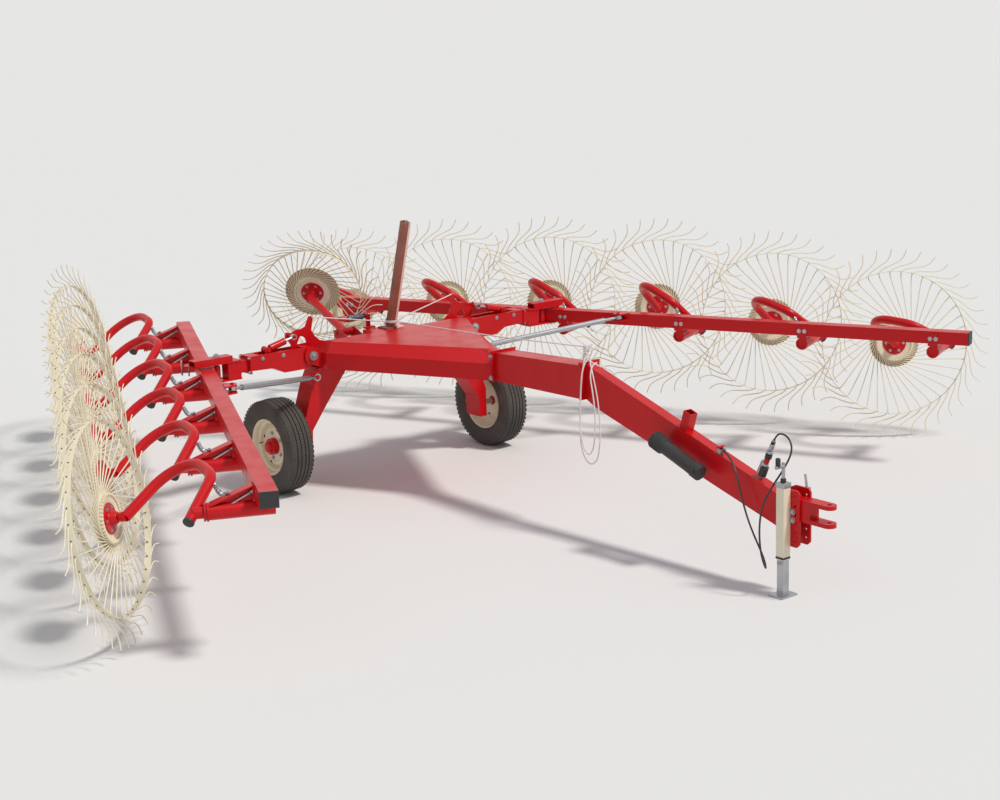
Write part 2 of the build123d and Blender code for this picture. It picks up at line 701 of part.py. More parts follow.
# Bracket on the frame's rear that the kicker arm turns in
kicker_ear_x = (kicker_foot.X - 60 - 0.3 - plate, kicker_foot.X + 60 + 0.3)
with BuildPart() as kicker_bracket:
    for low in kicker_ear_x:
        with BuildSketch(Plane.YZ.offset(low)):
            with BuildLine():
                Polyline(
                    (frame_rear + 0.3, 870), (frame_rear + 0.3, 962), (kicker_foot.Y - 20, kicker_foot.Z + 32),
                    (kicker_foot.Y + 34, kicker_foot.Z + 10), (kicker_foot.Y + 30, kicker_foot.Z - 36), close=True,
                )
            make_face()
        extrude(amount=plate)
    with BuildSketch(Plane.YZ.offset(kicker_ear_x[0] - 6)):
        with Locations((kicker_foot.Y, kicker_foot.Z - 5)):
            Circle(15)
    extrude(amount=kicker_ear_x[1] - kicker_ear_x[0] + plate + 12)
    with BuildSketch(Plane.XZ.offset(-frame_rear - 0.3)):
        with Locations((kicker_foot.X, 912)):
            Rectangle(180, 90)
    extrude(amount=-plate)
keep(kicker_bracket, "kicker_bracket")

# Leaning post at the middle of the frame's rear edge
post_rise = 766
post_lean = 230
post_foot = Vector(0, -70, frame_top + seat_gap)
post_head = post_foot + Vector(0, -post_lean, post_rise)
post_width = 55
post_wall = 4
with BuildPart() as sign_post:
    with BuildSketch(Plane(origin=post_foot + Vector(0, -10, 10), x_dir=(1, 0, 0), z_dir=post_head - post_foot)):
        Rectangle(post_width, post_width)
        Rectangle(post_width - 2 * post_wall, post_width - 2 * post_wall, mode=Mode.SUBTRACT)
    extrude(amount=(post_head - post_foot).length)
    with BuildSketch(Plane.XY.offset(post_foot.Z)):
        with Locations((0, -80)):
            Rectangle(150, 110)
    extrude(amount=10)
keep(sign_post, "sign_post")

# Links from the legs to the beams: a tube with an eye at each end
link_way = (link_outer - link_inner).normalized()
with BuildPart() as link:
    with BuildSketch(Plane(origin=link_inner + link_way * link_neck, z_dir=link_way)):
        Circle(link_radius)
    extrude(amount=(link_outer - link_inner).length - 2 * link_neck)
    with BuildSketch(Plane(origin=link_inner + link_way * (link_eye - 4), z_dir=link_way)):
        Circle(link_screw)
    extrude(amount=(link_outer - link_inner).length - 2 * link_eye + 8)
    for centre, turn in ((link_inner, Vector(0, 1, 0)), (link_outer, link_turn)):
        with BuildSketch(Plane(origin=centre - turn * (link_wall / 2), z_dir=turn)):
            Circle(link_eye)
        extrude(amount=link_wall)
    for centre, turn, play in ((link_inner, Vector(0, 1, 0), link_play), (link_outer, link_turn, 0.4)):
        with BuildSketch(Plane(origin=centre - turn * (link_wall / 2), z_dir=turn)):
            Circle(link_pin + play)
        extrude(amount=link_wall, mode=Mode.SUBTRACT)
keep(link, "turnbuckle_left")
mirrored("turnbuckle_right", link.part)

# Round lugs with pins for the links, on the fronts of the legs
with BuildPart() as link_pins:
    for side in (1, -1):
        with BuildSketch(Plane.XZ.offset(-leg_front + 0.3)):
            with Locations((side * link_inner.X, link_inner.Z)):
                Circle(link_pin)
        extrude(amount=-link_inner.Y + leg_front + link_wall / 2 + 12)
        with BuildSketch(Plane.XZ.offset(-leg_front + 0.3)):
            with Locations((side * link_inner.X, link_inner.Z)):
                Circle(34)
        extrude(amount=-link_inner.Y + leg_front - link_wall / 2 - 6)
keep(link_pins, "link_pins")

# Lift cylinders: barrel on the wing arm, rod eye on the hook plate
barrel_way = (rod_eye - barrel_base).normalized()
with BuildPart() as barrel:
    with BuildSketch(Plane(origin=barrel_base + barrel_way * barrel_start, z_dir=barrel_way)):
        Circle(barrel_radius)
    extrude(amount=barrel_length - barrel_start)
    with BuildSketch(Plane(origin=barrel_base + barrel_way * 12, z_dir=barrel_way)):
        Circle(cylinder_pin - 1)
    extrude(amount=barrel_start - 10)
    with BuildSketch(Plane(origin=barrel_base + barrel_way * (barrel_start + 12), z_dir=barrel_way)):
        Circle(rod_radius + 0.4)
    extrude(amount=barrel_length, mode=Mode.SUBTRACT)
    with BuildSketch(Plane.XZ.offset(-arm_y - eye_wall / 2)):
        with Locations((barrel_base.X, barrel_base.Z)):
            Circle(eye_radius)
    extrude(amount=eye_wall)
    with BuildSketch(Plane.XZ.offset(-arm_y - eye_wall / 2)):
        with Locations((barrel_base.X, barrel_base.Z)):
            Circle(cylinder_pin + fit_gap)
    extrude(amount=eye_wall, mode=Mode.SUBTRACT)
keep(barrel, "cylinder_barrel_left")
mirrored("cylinder_barrel_right", barrel.part)

with BuildPart() as rod:
    with BuildSketch(Plane(origin=barrel_base + barrel_way * rod_start, z_dir=barrel_way)):
        Circle(rod_radius)
    extrude(amount=(rod_eye - barrel_base).length - rod_start - eye_radius + 6)
    with BuildSketch(Plane.XZ.offset(-arm_y - eye_wall / 2)):
        with Locations((rod_eye.X, rod_eye.Z)):
            Circle(eye_radius)
    extrude(amount=eye_wall)
    with BuildSketch(Plane.XZ.offset(-arm_y - eye_wall / 2)):
        with Locations((rod_eye.X, rod_eye.Z)):
            Circle(hook_pin + rod_play)
    extrude(amount=eye_wall, mode=Mode.SUBTRACT)
keep(rod, "cylinder_rod_left")
mirrored("cylinder_rod_right", rod.part)

# Tongue, rear part: a level box from the frame's nose to the bend
flange = 10
with BuildPart() as tongue_rear:
    with BuildSketch(Plane.YZ.offset(-root_width / 2)):
        with BuildLine():
            Polyline(
                (apex_y - flange - 0.3, root_bottom), (apex_y - flange - 0.3, root_top - 12),
                (bend_y + flange, root_top + bend_rise), (bend_y + flange, root_bottom + 12), close=True,
            )
        make_face()
    extrude(amount=root_width)
    with BuildSketch(Plane.XZ.offset(-apex_y + 0.3)):
        with Locations((0, (root_top + root_bottom) / 2)):
            Rectangle(root_width + 60, root_top - root_bottom + 4)
    extrude(amount=flange)
    with BuildSketch(Plane.XZ.offset(-bend_y - flange)):
        with Locations((0, 980)):
            Rectangle(root_width + 10, 240)
    extrude(amount=flange)
keep(tongue_rear, "tongue_rear")

# Tongue, front part: a narrow box that slopes down to the hitch
slope = (neck_top_rear - neck_top_front) / (neck_rear_y - neck_front_y)


def neck_top(y):
    return neck_top_front + (y - neck_front_y) * slope


with BuildPart() as tongue_front:
    with BuildSketch(Plane.YZ.offset(-neck_width / 2)):
        with BuildLine():
            Polyline(
                (bend_y - flange - 0.3, 1090), (neck_rear_y, neck_top_rear), (neck_front_y, neck_top_front),
                (neck_front_y, neck_bottom_front), (neck_rear_y - 115, 790), (neck_rear_y, neck_bottom_rear),
                (bend_y - flange - 0.3, 862), close=True,
            )
        make_face()
    extrude(amount=neck_width)
    with BuildSketch(Plane.XZ.offset(-bend_y + 0.3)):
        with Locations((0, 980)):
            Rectangle(root_width + 10, 240)
    extrude(amount=flange)
keep(tongue_front, "tongue_front")

# Hitch: two side plates on the tongue's end and a forked clevis between them
cheek_wall = 12
hole_pitch = 50
with BuildPart() as hitch_plates:
    for side in (1, -1):
        with BuildSketch(Plane.YZ.offset(side * (neck_width / 2 + 0.3))):
            with BuildLine():
                Polyline(
                    (cheek_rear_y + 60, cheek_bottom + 30), (cheek_rear_y + 60, cheek_top - 30),
                    (cheek_rear_y, cheek_top), (cheek_front_y + 20, cheek_top), (cheek_front_y, cheek_top - 20),
                    (cheek_front_y, cheek_bottom + 20), (cheek_front_y + 20, cheek_bottom),
                    (cheek_rear_y, cheek_bottom), close=True,
                )
            make_face()
            for row in range(6):
                with Locations((cheek_front_y + 32, cheek_bottom + 40 + row * hole_pitch)):
                    Circle(8, mode=Mode.SUBTRACT)
        extrude(amount=side * cheek_wall)
keep(hitch_plates, "hitch_plates")

clevis_rear_y = neck_front_y - 40
clevis_front_y = -4060
tang_middle = (tang_upper + tang_lower) / 2
with BuildPart() as hitch_clevis:
    with BuildSketch(Plane.YZ.offset(-neck_width / 2)):
        with BuildLine():
            Polyline(
                (clevis_rear_y, tang_lower - tang_wall / 2), (clevis_rear_y, tang_upper + tang_wall / 2),
                (clevis_front_y, tang_upper + tang_wall / 2), (clevis_front_y, tang_lower - tang_wall / 2), close=True,
            )
        make_face()
    extrude(amount=neck_width)
    for level in (tang_upper, tang_lower):
        with BuildSketch(Plane.XY.offset(level - tang_wall / 2)):
            with Locations((0, (clevis_front_y + tang_hole_y) / 2 + 15)):
                Rectangle(2 * tang_half, clevis_front_y - tang_hole_y + 30)
            with Locations((0, tang_hole_y)):
                Circle(tang_half)
                Circle(hitch_pin_radius, mode=Mode.SUBTRACT)
        extrude(amount=tang_wall)
keep(hitch_clevis, "hitch_clevis")

# Jack: a square tube clamped to the near side plate, and the leg that slides in it
jack_side = -neck_width / 2 - 0.3 - cheek_wall
jack_x = jack_side - 0.3 - jack_size / 2
leg_size = jack_size - 2 * jack_wall - 2 * leg_gap
with BuildPart() as jack_tube:
    with BuildSketch(Plane.XY.offset(jack_skirt)):
        with Locations((jack_x, cheek_rear_y - 20)):
            Rectangle(jack_size, jack_size)
            Rectangle(jack_size - 2 * jack_wall, jack_size - 2 * jack_wall, mode=Mode.SUBTRACT)
    extrude(amount=jack_top - jack_skirt)
    with BuildSketch(Plane.XY.offset(jack_top)):
        with Locations((jack_x, cheek_rear_y - 20)):
            Rectangle(jack_size, jack_size)
    extrude(amount=12)
    with BuildSketch(Plane.XY.offset(jack_top + 12)):
        with Locations((jack_x, cheek_rear_y - 20)):
            Circle(9)
    extrude(amount=110)
    with BuildSketch(Plane.YZ.offset(jack_x - 60)):
        with Locations((cheek_rear_y - 20, jack_top + 112)):
            Circle(9)
    extrude(amount=60)
keep(jack_tube, "jack_tube")

with BuildPart() as jack_leg:
    with BuildSketch(Plane.XY):
        with Locations((jack_x, cheek_rear_y - 20)):
            Rectangle(foot_size, foot_size * 0.8)
    extrude(amount=foot_wall)
    with BuildSketch(Plane.XY.offset(foot_wall)):
        with Locations((jack_x, cheek_rear_y - 20)):
            Rectangle(leg_size, leg_size)
            Rectangle(leg_size - 8, leg_size - 8, mode=Mode.SUBTRACT)
    extrude(amount=430)
keep(jack_leg, "jack_leg")

# Parking stub for the jack, square to the tongue's sloping top
stub_y = -3060
slope_angle = atan2(slope, 1)
stub_up = Vector(0, -sin(slope_angle), cos(slope_angle))
stub_size = 60
with BuildPart() as jack_stub:
    with BuildSketch(Plane(origin=Vector(0, stub_y, neck_top(stub_y)) + stub_up * 0.3, x_dir=(1, 0, 0), z_dir=stub_up)):
        Rectangle(stub_size, stub_size)
        Rectangle(stub_size - 8, stub_size - 8, mode=Mode.SUBTRACT)
    extrude(amount=112)
keep(jack_stub, "jack_stub")

# Document tube strapped to the tongue's near side
holder_radius = 38
holder_rear_y = neck_rear_y - 568
holder_front_y = holder_rear_y - 397
holder_drop = 161  # below the tongue's top edge
holder_x = -neck_width / 2 - holder_radius - 8
holder_rear = Vector(holder_x, holder_rear_y, neck_top(holder_rear_y) - holder_drop)
holder_front = Vector(holder_x, holder_front_y, neck_top(holder_front_y) - holder_drop + 17)
with BuildPart() as document_tube:
    with BuildSketch(Plane(origin=holder_rear, z_dir=holder_front - holder_rear)):
        Circle(holder_radius)
    extrude(amount=(holder_front - holder_rear).length)
    for share in (0.2, 0.8):
        strap = holder_rear + (holder_front - holder_rear) * share
        with BuildSketch(Plane(origin=strap - (holder_front - holder_rear).normalized() * 12, x_dir=(1, 0, 0), z_dir=holder_front - holder_rear)):
            with Locations(((holder_radius + 8 - seat_gap) / 2, 0)):
                Rectangle(holder_radius + 8 - seat_gap, 50)
        extrude(amount=24)
keep(document_tube, "document_tube")

# Pull rope, taut from both hook fingers to a ring round the post and on to a knot on the tongue's flange
rope_radius = 4
rope_ring = Vector(0, -92, 1090)
ring_inner = 43
finger_point = Vector(fold_x - 93, ear_rear - rope_radius - seat_gap, fold_z + 241)
rope_turn = Vector(0, -1319, 1134)
knot_radius = 20
knot_foot = Vector(-20, bend_y, 1100 + seat_gap)
knot_height = 100
knot_point = knot_foot + Vector(0, 0, knot_height - 10)
rope_runs = [
    (rope_ring + Vector(ring_inner + 2, 0, 0), finger_point),
    (rope_ring - Vector(ring_inner + 2, 0, 0), Vector(-finger_point.X, finger_point.Y, finger_point.Z)),
    (rope_ring - Vector(0, ring_inner + 2, 0), rope_turn), (rope_turn, knot_point),
]
with BuildPart() as pull_rope:
    with BuildSketch(Plane(origin=rope_ring - Vector(0, 0, 8))):
        Circle(ring_inner + 5)
        Circle(ring_inner, mode=Mode.SUBTRACT)
    extrude(amount=16)
    for start, end in rope_runs:
        with BuildSketch(Plane(origin=start, z_dir=end - start)):
            Circle(rope_radius)
        extrude(amount=(end - start).length)
    with BuildSketch(Plane(origin=rope_turn - Vector(0, 8, 0), z_dir=(0, 1, 0))):
        Circle(9)
    extrude(amount=16)
    with BuildSketch(Plane(origin=knot_foot)):
        Circle(knot_radius)
    extrude(amount=knot_height)
keep(pull_rope, "pull_rope")

# Hydraulic hose: from its guide on the tongue, down in a loop and up to its coupler
hose_radius = 5.5
hose_points = [
    (-20, -3385, 738), (-48, -3464, 722), (-76, -3535, 650), (-90, -3578, 558), (-100, -3622, 465),
    (-105, -3663, 385), (-110, -3720, 298), (-114, -3775, 225), (-125, -3812, 170), (-185, -3870, 170),
    (-214, -3862, 250), (-214, -3846, 345), (-200, -3834, 450), (-170, -3831, 543), (-120, -3850, 632),
    (-60, -3888, 735), (-20, -3912, 828), (-6, -3885, 890), (0, -3828, 915), (0, -3778, 904), (0, -3758, 866),
]


def route_radii(points):
    """The largest even bend at each inner point of a cord's route."""
    places = [Vector(*point) for point in points]
    radii = []
    for before, here, after in zip(places, places[1:], places[2:]):
        turn = (here - before).get_angle(after - here)
        shorter = min((here - before).length, (after - here).length)
        radii.append(0.45 * shorter / tan(radians(turn / 2)))
    return radii


hose_radii = route_radii(hose_points)
print("hose bends", [round(radius) for radius in hose_radii])
with BuildPart() as hydraulic_hose:
    with BuildLine() as hose_line:
        FilletPolyline(*hose_points, radius=hose_radii)
    with BuildSketch(Plane(origin=hose_line.line @ 0, z_dir=hose_line.line % 0)):
        Circle(hose_radius)
    sweep(path=hose_line.line)
hose_length = sum(edge.length for edge in hose_line.line.edges())
print("hose length", round(hose_length), "by its volume", round(hydraulic_hose.part.volume / (pi * hose_radius**2)))
keep(hydraulic_hose, "hydraulic_hose")

# Guide that the hose leaves the tongue by, and the coupler parked on the tongue's top
guide_way = (Vector(*hose_points[1]) - Vector(*hose_points[0])).normalized()
guide_front = Vector(*hose_points[0])
coupler_top = Vector(*hose_points[-1])
coupler_way = (coupler_top - Vector(*hose_points[-2])).normalized()
with BuildPart() as hose_fittings:
    with BuildSketch(Plane(origin=guide_front - guide_way * 40, z_dir=guide_way)):
        Circle(14)
    extrude(amount=40)
    with BuildSketch(Plane(origin=Vector(-20, -3352, neck_top(-3352)) + stub_up * seat_gap, x_dir=(1, 0, 0), z_dir=stub_up)):
        Rectangle(28, 30)
    extrude(amount=30)
    # coupler: distance from the hose's end, radius, length
    for step, radius, length in ((0, 10, 78), (76, 14, 16), (90, 9, 70), (156, 19, 78)):
        with BuildSketch(Plane(origin=coupler_top + coupler_way * step, z_dir=coupler_way)):
            Circle(radius)
        extrude(amount=length)
    rest = coupler_top + coupler_way * 220
    with BuildSketch(Plane(origin=Vector(0, rest.Y, neck_top(rest.Y)) + stub_up * seat_gap, x_dir=(1, 0, 0), z_dir=stub_up)):
        Circle(9)
    extrude(amount=rest.Z - neck_top(rest.Y) + 4)
keep(hose_fittings, "hose_fittings")
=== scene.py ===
import json
import math
import bpy
from mathutils import Matrix, Vector


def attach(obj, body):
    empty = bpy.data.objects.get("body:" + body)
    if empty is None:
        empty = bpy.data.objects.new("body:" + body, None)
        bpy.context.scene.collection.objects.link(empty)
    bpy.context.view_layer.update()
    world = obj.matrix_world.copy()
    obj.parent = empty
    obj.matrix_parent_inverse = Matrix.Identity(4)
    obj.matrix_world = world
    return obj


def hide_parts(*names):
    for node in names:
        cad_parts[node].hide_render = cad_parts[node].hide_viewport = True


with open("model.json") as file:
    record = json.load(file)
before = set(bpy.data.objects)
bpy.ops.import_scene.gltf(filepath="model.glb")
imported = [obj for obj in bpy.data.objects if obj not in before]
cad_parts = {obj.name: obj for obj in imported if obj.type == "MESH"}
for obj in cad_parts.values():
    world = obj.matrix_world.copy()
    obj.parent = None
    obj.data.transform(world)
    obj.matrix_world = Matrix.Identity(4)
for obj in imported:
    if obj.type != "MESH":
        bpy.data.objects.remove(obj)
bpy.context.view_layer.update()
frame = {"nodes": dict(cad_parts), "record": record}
print("frame loaded")

# places are measured from the middle of the axle on the floor; the CAD stands with its own middle over the origin
middle = Vector((0, 0.723377, 0))


def at(x, y, z):
    return Vector((x, y, z)) + middle


# camera, placed and turned as the photograph was taken
cameraValues = {
    "place": (-7.4495, -10.5997, 3.4447),
    "azimuth": -38.6935,
    "elevation": 12.957,
    "roll": -1.706,
    "lens": 65.976,
    "sensor": 36,
    "farEnd": 100,
}


def addCamera(values):
    azimuth = math.radians(values["azimuth"])
    elevation = math.radians(values["elevation"])
    roll = math.radians(values["roll"])
    back = Vector((
        math.sin(azimuth) * math.cos(elevation),
        -math.cos(azimuth) * math.cos(elevation),
        math.sin(elevation),
    ))
    right = Vector((math.cos(azimuth), math.sin(azimuth), 0))
    up = back.cross(right)
    turnedRight = right * math.cos(roll) + up * math.sin(roll)
    turnedUp = up * math.cos(roll) - right * math.sin(roll)
    data = bpy.data.cameras.new("camera")
    data.lens = values["lens"]
    data.sensor_width = values["sensor"]
    data.clip_end = values["farEnd"]
    camera = bpy.data.objects.new("camera", data)
    bpy.context.scene.collection.objects.link(camera)
    turn = Matrix((turnedRight, turnedUp, back)).transposed().to_4x4()
    camera.matrix_world = Matrix.Translation(at(*values["place"])) @ turn
    bpy.context.scene.camera = camera


addCamera(cameraValues)
print("camera placed")


def drawCurve(name, points, radius, sides, steps, order=3):  # a smooth curve with a round section
    data = bpy.data.curves.new(name, "CURVE")
    data.dimensions = "3D"
    data.bevel_depth = radius
    data.bevel_resolution = sides // 2 - 2
    data.resolution_u = steps
    data.use_fill_caps = True
    spline = data.splines.new("NURBS")
    spline.points.add(len(points) - 1)
    for point, place in zip(spline.points, points):
        point.co = (*place, 1)
    spline.order_u = order
    spline.use_endpoint_u = True
    curve = bpy.data.objects.new(name, data)
    bpy.context.scene.collection.objects.link(curve)
    return curve


# free hose of the hydraulics; its route is the one in the CAD source
hoseValues = {
    "radius": 0.0055,
    "length": 1.73,
    "route": [
        (-0.020, -3.385, 0.738), (-0.048, -3.464, 0.722), (-0.076, -3.535, 0.650), (-0.090, -3.578, 0.558),
        (-0.100, -3.622, 0.465), (-0.105, -3.663, 0.385), (-0.110, -3.720, 0.298), (-0.114, -3.775, 0.225),
        (-0.125, -3.812, 0.170), (-0.185, -3.870, 0.170), (-0.214, -3.862, 0.250), (-0.214, -3.846, 0.345),
        (-0.200, -3.834, 0.450), (-0.170, -3.831, 0.543), (-0.120, -3.850, 0.632), (-0.060, -3.888, 0.735),
        (-0.020, -3.912, 0.828), (-0.006, -3.885, 0.890), (0, -3.828, 0.915), (0, -3.778, 0.904),
        (0, -3.758, 0.866),
    ],
}


def addHose(values):
    route = [at(*place) for place in values["route"]]
    hose = drawCurve("hydraulicHose", route, values["radius"], sides=10, steps=10)
    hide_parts("hydraulic_hose")
    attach(hose, "machine")
    return hose


hose = addHose(hoseValues)
print("hose laid")


# material building: a number or colour is set on a socket, another node's output is linked to it
def feed(tree, socket, source):
    if isinstance(source, bpy.types.NodeSocket):
        tree.links.new(source, socket)
    else:
        socket.default_value = source


def mathNode(tree, operation, *sources):
    node = tree.nodes.new("ShaderNodeMath")
    node.operation = operation
    for socket, source in zip(node.inputs, sources):
        feed(tree, socket, source)
    return node.outputs["Value"]


def rampNode(tree, source, low, high, top=1.0):  # 0 up to the low bound, and the top from the high one
    node = tree.nodes.new("ShaderNodeMapRange")
    for label, value in (("Value", source), ("From Min", low), ("From Max", high), ("To Max", top)):
        feed(tree, node.inputs[label], value)
    return node.outputs["Result"]


def mixNode(tree, factor, first, second):
    node = tree.nodes.new("ShaderNodeMix")
    node.data_type = "RGBA"
    for label, value in (("Factor", factor), ("A", first), ("B", second)):
        feed(tree, node.inputs[label], value)
    return node.outputs["Result"]


def noiseNode(tree, place, scale, detail):
    node = tree.nodes.new("ShaderNodeTexNoise")
    for label, value in (("Vector", place), ("Scale", scale), ("Detail", detail)):
        feed(tree, node.inputs[label], value)
    return node.outputs["Fac"]


def newMaterial(name):
    material = bpy.data.materials.new(name)
    material.use_nodes = True
    tree = material.node_tree
    tree.nodes.clear()
    output = tree.nodes.new("ShaderNodeOutputMaterial")
    shader = tree.nodes.new("ShaderNodeBsdfPrincipled")
    tree.links.new(shader.outputs["BSDF"], output.inputs["Surface"])
    return material, tree, shader


def newGroup(name, inputs, outputs):
    group = bpy.data.node_groups.new(name, "ShaderNodeTree")
    for label, kind, value in inputs:
        socket = group.interface.new_socket(label, in_out="INPUT", socket_type=kind)
        socket.default_value = value
    for label, kind in outputs:
        group.interface.new_socket(label, in_out="OUTPUT", socket_type=kind)
    start = group.nodes.new("NodeGroupInput")
    end = group.nodes.new("NodeGroupOutput")
    return group, start, end


# wear that every finish shares: broad faded patches and fine specks
wearValues = {
    "patchScale": 6.0,
    "patchDetail": 4,
    "patchBounds": (0.42, 0.72),
    "speckScale": 90.0,
    "speckDetail": 2,
    "speckBounds": (0.6, 0.75),
    "roughening": 0.5,
    "coatRoughness": 0.12,
    "bumpStrength": 0.12,
    "bumpDistance": 0.002,
    "gloss": 0.5,
}


def makeWearGroup(values):
    group, start, end = newGroup(
        "fieldWear",
        [
            ("Color", "NodeSocketColor", (0.8, 0.1, 0.1, 1)),
            ("Worn Color", "NodeSocketColor", (0.5, 0.4, 0.3, 1)),
            ("Patch Scale", "NodeSocketFloat", values["patchScale"]),
            ("Patch Amount", "NodeSocketFloat", 0.15),
            ("Speck Scale", "NodeSocketFloat", values["speckScale"]),
            ("Speck Amount", "NodeSocketFloat", 0.2),
            ("Roughness", "NodeSocketFloat", 0.35),
        ],
        [("Color", "NodeSocketColor"), ("Roughness", "NodeSocketFloat"), ("Height", "NodeSocketFloat")],
    )
    given = start.outputs
    place = group.nodes.new("ShaderNodeTexCoord").outputs["Object"]
    patches = noiseNode(group, place, given["Patch Scale"], values["patchDetail"])
    specks = noiseNode(group, place, given["Speck Scale"], values["speckDetail"])
    worn = mathNode(
        group, "MAXIMUM",
        rampNode(group, patches, *values["patchBounds"], given["Patch Amount"]),
        rampNode(group, specks, *values["speckBounds"], given["Speck Amount"]),
    )
    color = mixNode(group, worn, given["Color"], given["Worn Color"])
    rough = mathNode(group, "MULTIPLY_ADD", worn, values["roughening"], given["Roughness"])
    for label, source in (("Color", color), ("Roughness", rough), ("Height", patches)):
        group.links.new(source, end.inputs[label])
    return group


wearGroup = makeWearGroup(wearValues)

finishes = {
    "redPaint": {
        "color": (0.57, 0.004, 0.008), "worn": (0.40, 0.010, 0.008), "rough": 0.30,
        "coat": 0.10, "patch": 0.28, "speck": 0.10, "gloss": 0.22,
    },
    "creamPaint": {
        "color": (0.83, 0.76, 0.58), "worn": (0.62, 0.52, 0.34), "rough": 0.42,
        "coat": 0.1, "patch": 0.3, "speck": 0.12,
    },
    "bareSteel": {
        "color": (0.46, 0.48, 0.51), "worn": (0.26, 0.26, 0.27), "rough": 0.30,
        "coat": 0.0, "patch": 0.5, "speck": 0.2, "metal": 1.0,
    },
    # painted shade: the post's red paint darkened to brown, the look of its shaded channel
    "postShadedPaint": {
        "color": (0.30, 0.10, 0.06), "worn": (0.16, 0.05, 0.03), "rough": 0.45,
        "coat": 0.1, "patch": 0.5, "speck": 0.2,
    },
    "blackPlastic": {
        "color": (0.02, 0.02, 0.02), "worn": (0.05, 0.05, 0.045), "rough": 0.5,
        "coat": 0.0, "patch": 0.4, "speck": 0.2,
    },
    "tyreRubber": {
        "color": (0.050, 0.047, 0.043), "worn": (0.17, 0.15, 0.12), "rough": 0.75,
        "coat": 0.0, "patch": 0.45, "speck": 0.4,
    },
    # painted shade: the dishes' cream paint darkened to ochre, standing for the shade they lie in
    "dishShadedPaint": {
        "color": (0.70, 0.58, 0.37), "worn": (0.42, 0.30, 0.14), "rough": 0.5,
        "coat": 0.0, "patch": 0.6, "speck": 0.3,
    },
    "holeShade": {
        "color": (0.10, 0.075, 0.045), "worn": (0.05, 0.04, 0.03), "rough": 0.8,
        "coat": 0.0, "patch": 0.3, "speck": 0.2,
    },
    "blueSteel": {
        "color": (0.10, 0.16, 0.22), "worn": (0.24, 0.22, 0.20), "rough": 0.35,
        "coat": 0.1, "patch": 0.4, "speck": 0.2, "metal": 0.6,
    },
    "ropeFibre": {
        "color": (0.78, 0.72, 0.70), "worn": (0.55, 0.45, 0.42), "rough": 0.85,
        "coat": 0.0, "patch": 0.3, "speck": 0.4,
    },
    "hoseRubber": {
        "color": (0.012, 0.012, 0.013), "worn": (0.04, 0.04, 0.04), "rough": 0.38,
        "coat": 0.1, "patch": 0.2, "speck": 0.1,
    },
}


def makeFinish(name, values):
    material, tree, shader = newMaterial(name)
    wear = tree.nodes.new("ShaderNodeGroup")
    wear.node_tree = wearGroup
    for label, value in (
        ("Color", (*values["color"], 1)), ("Worn Color", (*values["worn"], 1)),
        ("Patch Amount", values["patch"]), ("Speck Amount", values["speck"]), ("Roughness", values["rough"]),
    ):
        wear.inputs[label].default_value = value
    bump = tree.nodes.new("ShaderNodeBump")
    bump.inputs["Strength"].default_value = wearValues["bumpStrength"]
    bump.inputs["Distance"].default_value = wearValues["bumpDistance"]
    tree.links.new(wear.outputs["Height"], bump.inputs["Height"])
    for label, source in (
        ("Base Color", wear.outputs["Color"]), ("Roughness", wear.outputs["Roughness"]),
        ("Metallic", values.get("metal", 0)), ("Coat Weight", values["coat"]),
        ("Coat Roughness", wearValues["coatRoughness"]),
        ("Specular IOR Level", values.get("gloss", wearValues["gloss"])), ("Normal", bump.outputs["Normal"]),
    ):
        feed(tree, shader.inputs[label], source)
    return material


materials = {name: makeFinish(name, values) for name, values in finishes.items()}


def coverColor(tree, mask, color):  # lays a colour over the finish where the mask is 1
    shader = next(node for node in tree.nodes if node.type == "BSDF_PRINCIPLED")
    base = shader.inputs["Base Color"]
    tree.links.new(mixNode(tree, mask, base.links[0].from_socket, (*color, 1)), base)


# sipes of the tyres: fine zigzag cuts across the ribs
sipeValues = {
    "zigzag": 0.0155,  # a cut turns back after this far along the axle
    "count": 110,
    "lean": 38,
    "width": 0.2,
    "treadBounds": (0.3215, 0.3235),
    "color": (0.008, 0.008, 0.008),
}


def addSipes(material, hub, values):  # turned round the wheel's axle
    tree = material.node_tree
    link = tree.links.new
    place = tree.nodes.new("ShaderNodeTexCoord")
    centred = tree.nodes.new("ShaderNodeMapping")
    centred.inputs["Location"].default_value = (0, -hub.y, -hub.z)
    link(place.outputs["Object"], centred.inputs["Vector"])
    apart = tree.nodes.new("ShaderNodeSeparateXYZ")
    link(centred.outputs["Vector"], apart.inputs["Vector"])
    flat = tree.nodes.new("ShaderNodeCombineXYZ")
    link(apart.outputs["Y"], flat.inputs["X"])
    link(apart.outputs["Z"], flat.inputs["Y"])
    around = tree.nodes.new("ShaderNodeTexGradient")
    around.gradient_type = "RADIAL"
    link(flat.outputs["Vector"], around.inputs["Vector"])
    reach = tree.nodes.new("ShaderNodeVectorMath")
    reach.operation = "LENGTH"
    link(flat.outputs["Vector"], reach.inputs[0])
    slant = mathNode(tree, "PINGPONG", apart.outputs["X"], values["zigzag"])
    lean = mathNode(tree, "MULTIPLY", slant, values["lean"])
    turns = mathNode(tree, "MULTIPLY_ADD", around.outputs["Fac"], values["count"], lean)
    cuts = mathNode(tree, "LESS_THAN", mathNode(tree, "FRACT", turns), values["width"])
    onTread = rampNode(tree, reach.outputs["Value"], *values["treadBounds"])
    coverColor(tree, mathNode(tree, "MULTIPLY", cuts, onTread), values["color"])


# painted highlight: the sign post's wall on the machine's left is painted pale, standing for the sunlight on it
postHighlightValues = {"edge": 0.0085, "blur": 0.003, "color": (0.80, 0.62, 0.54)}


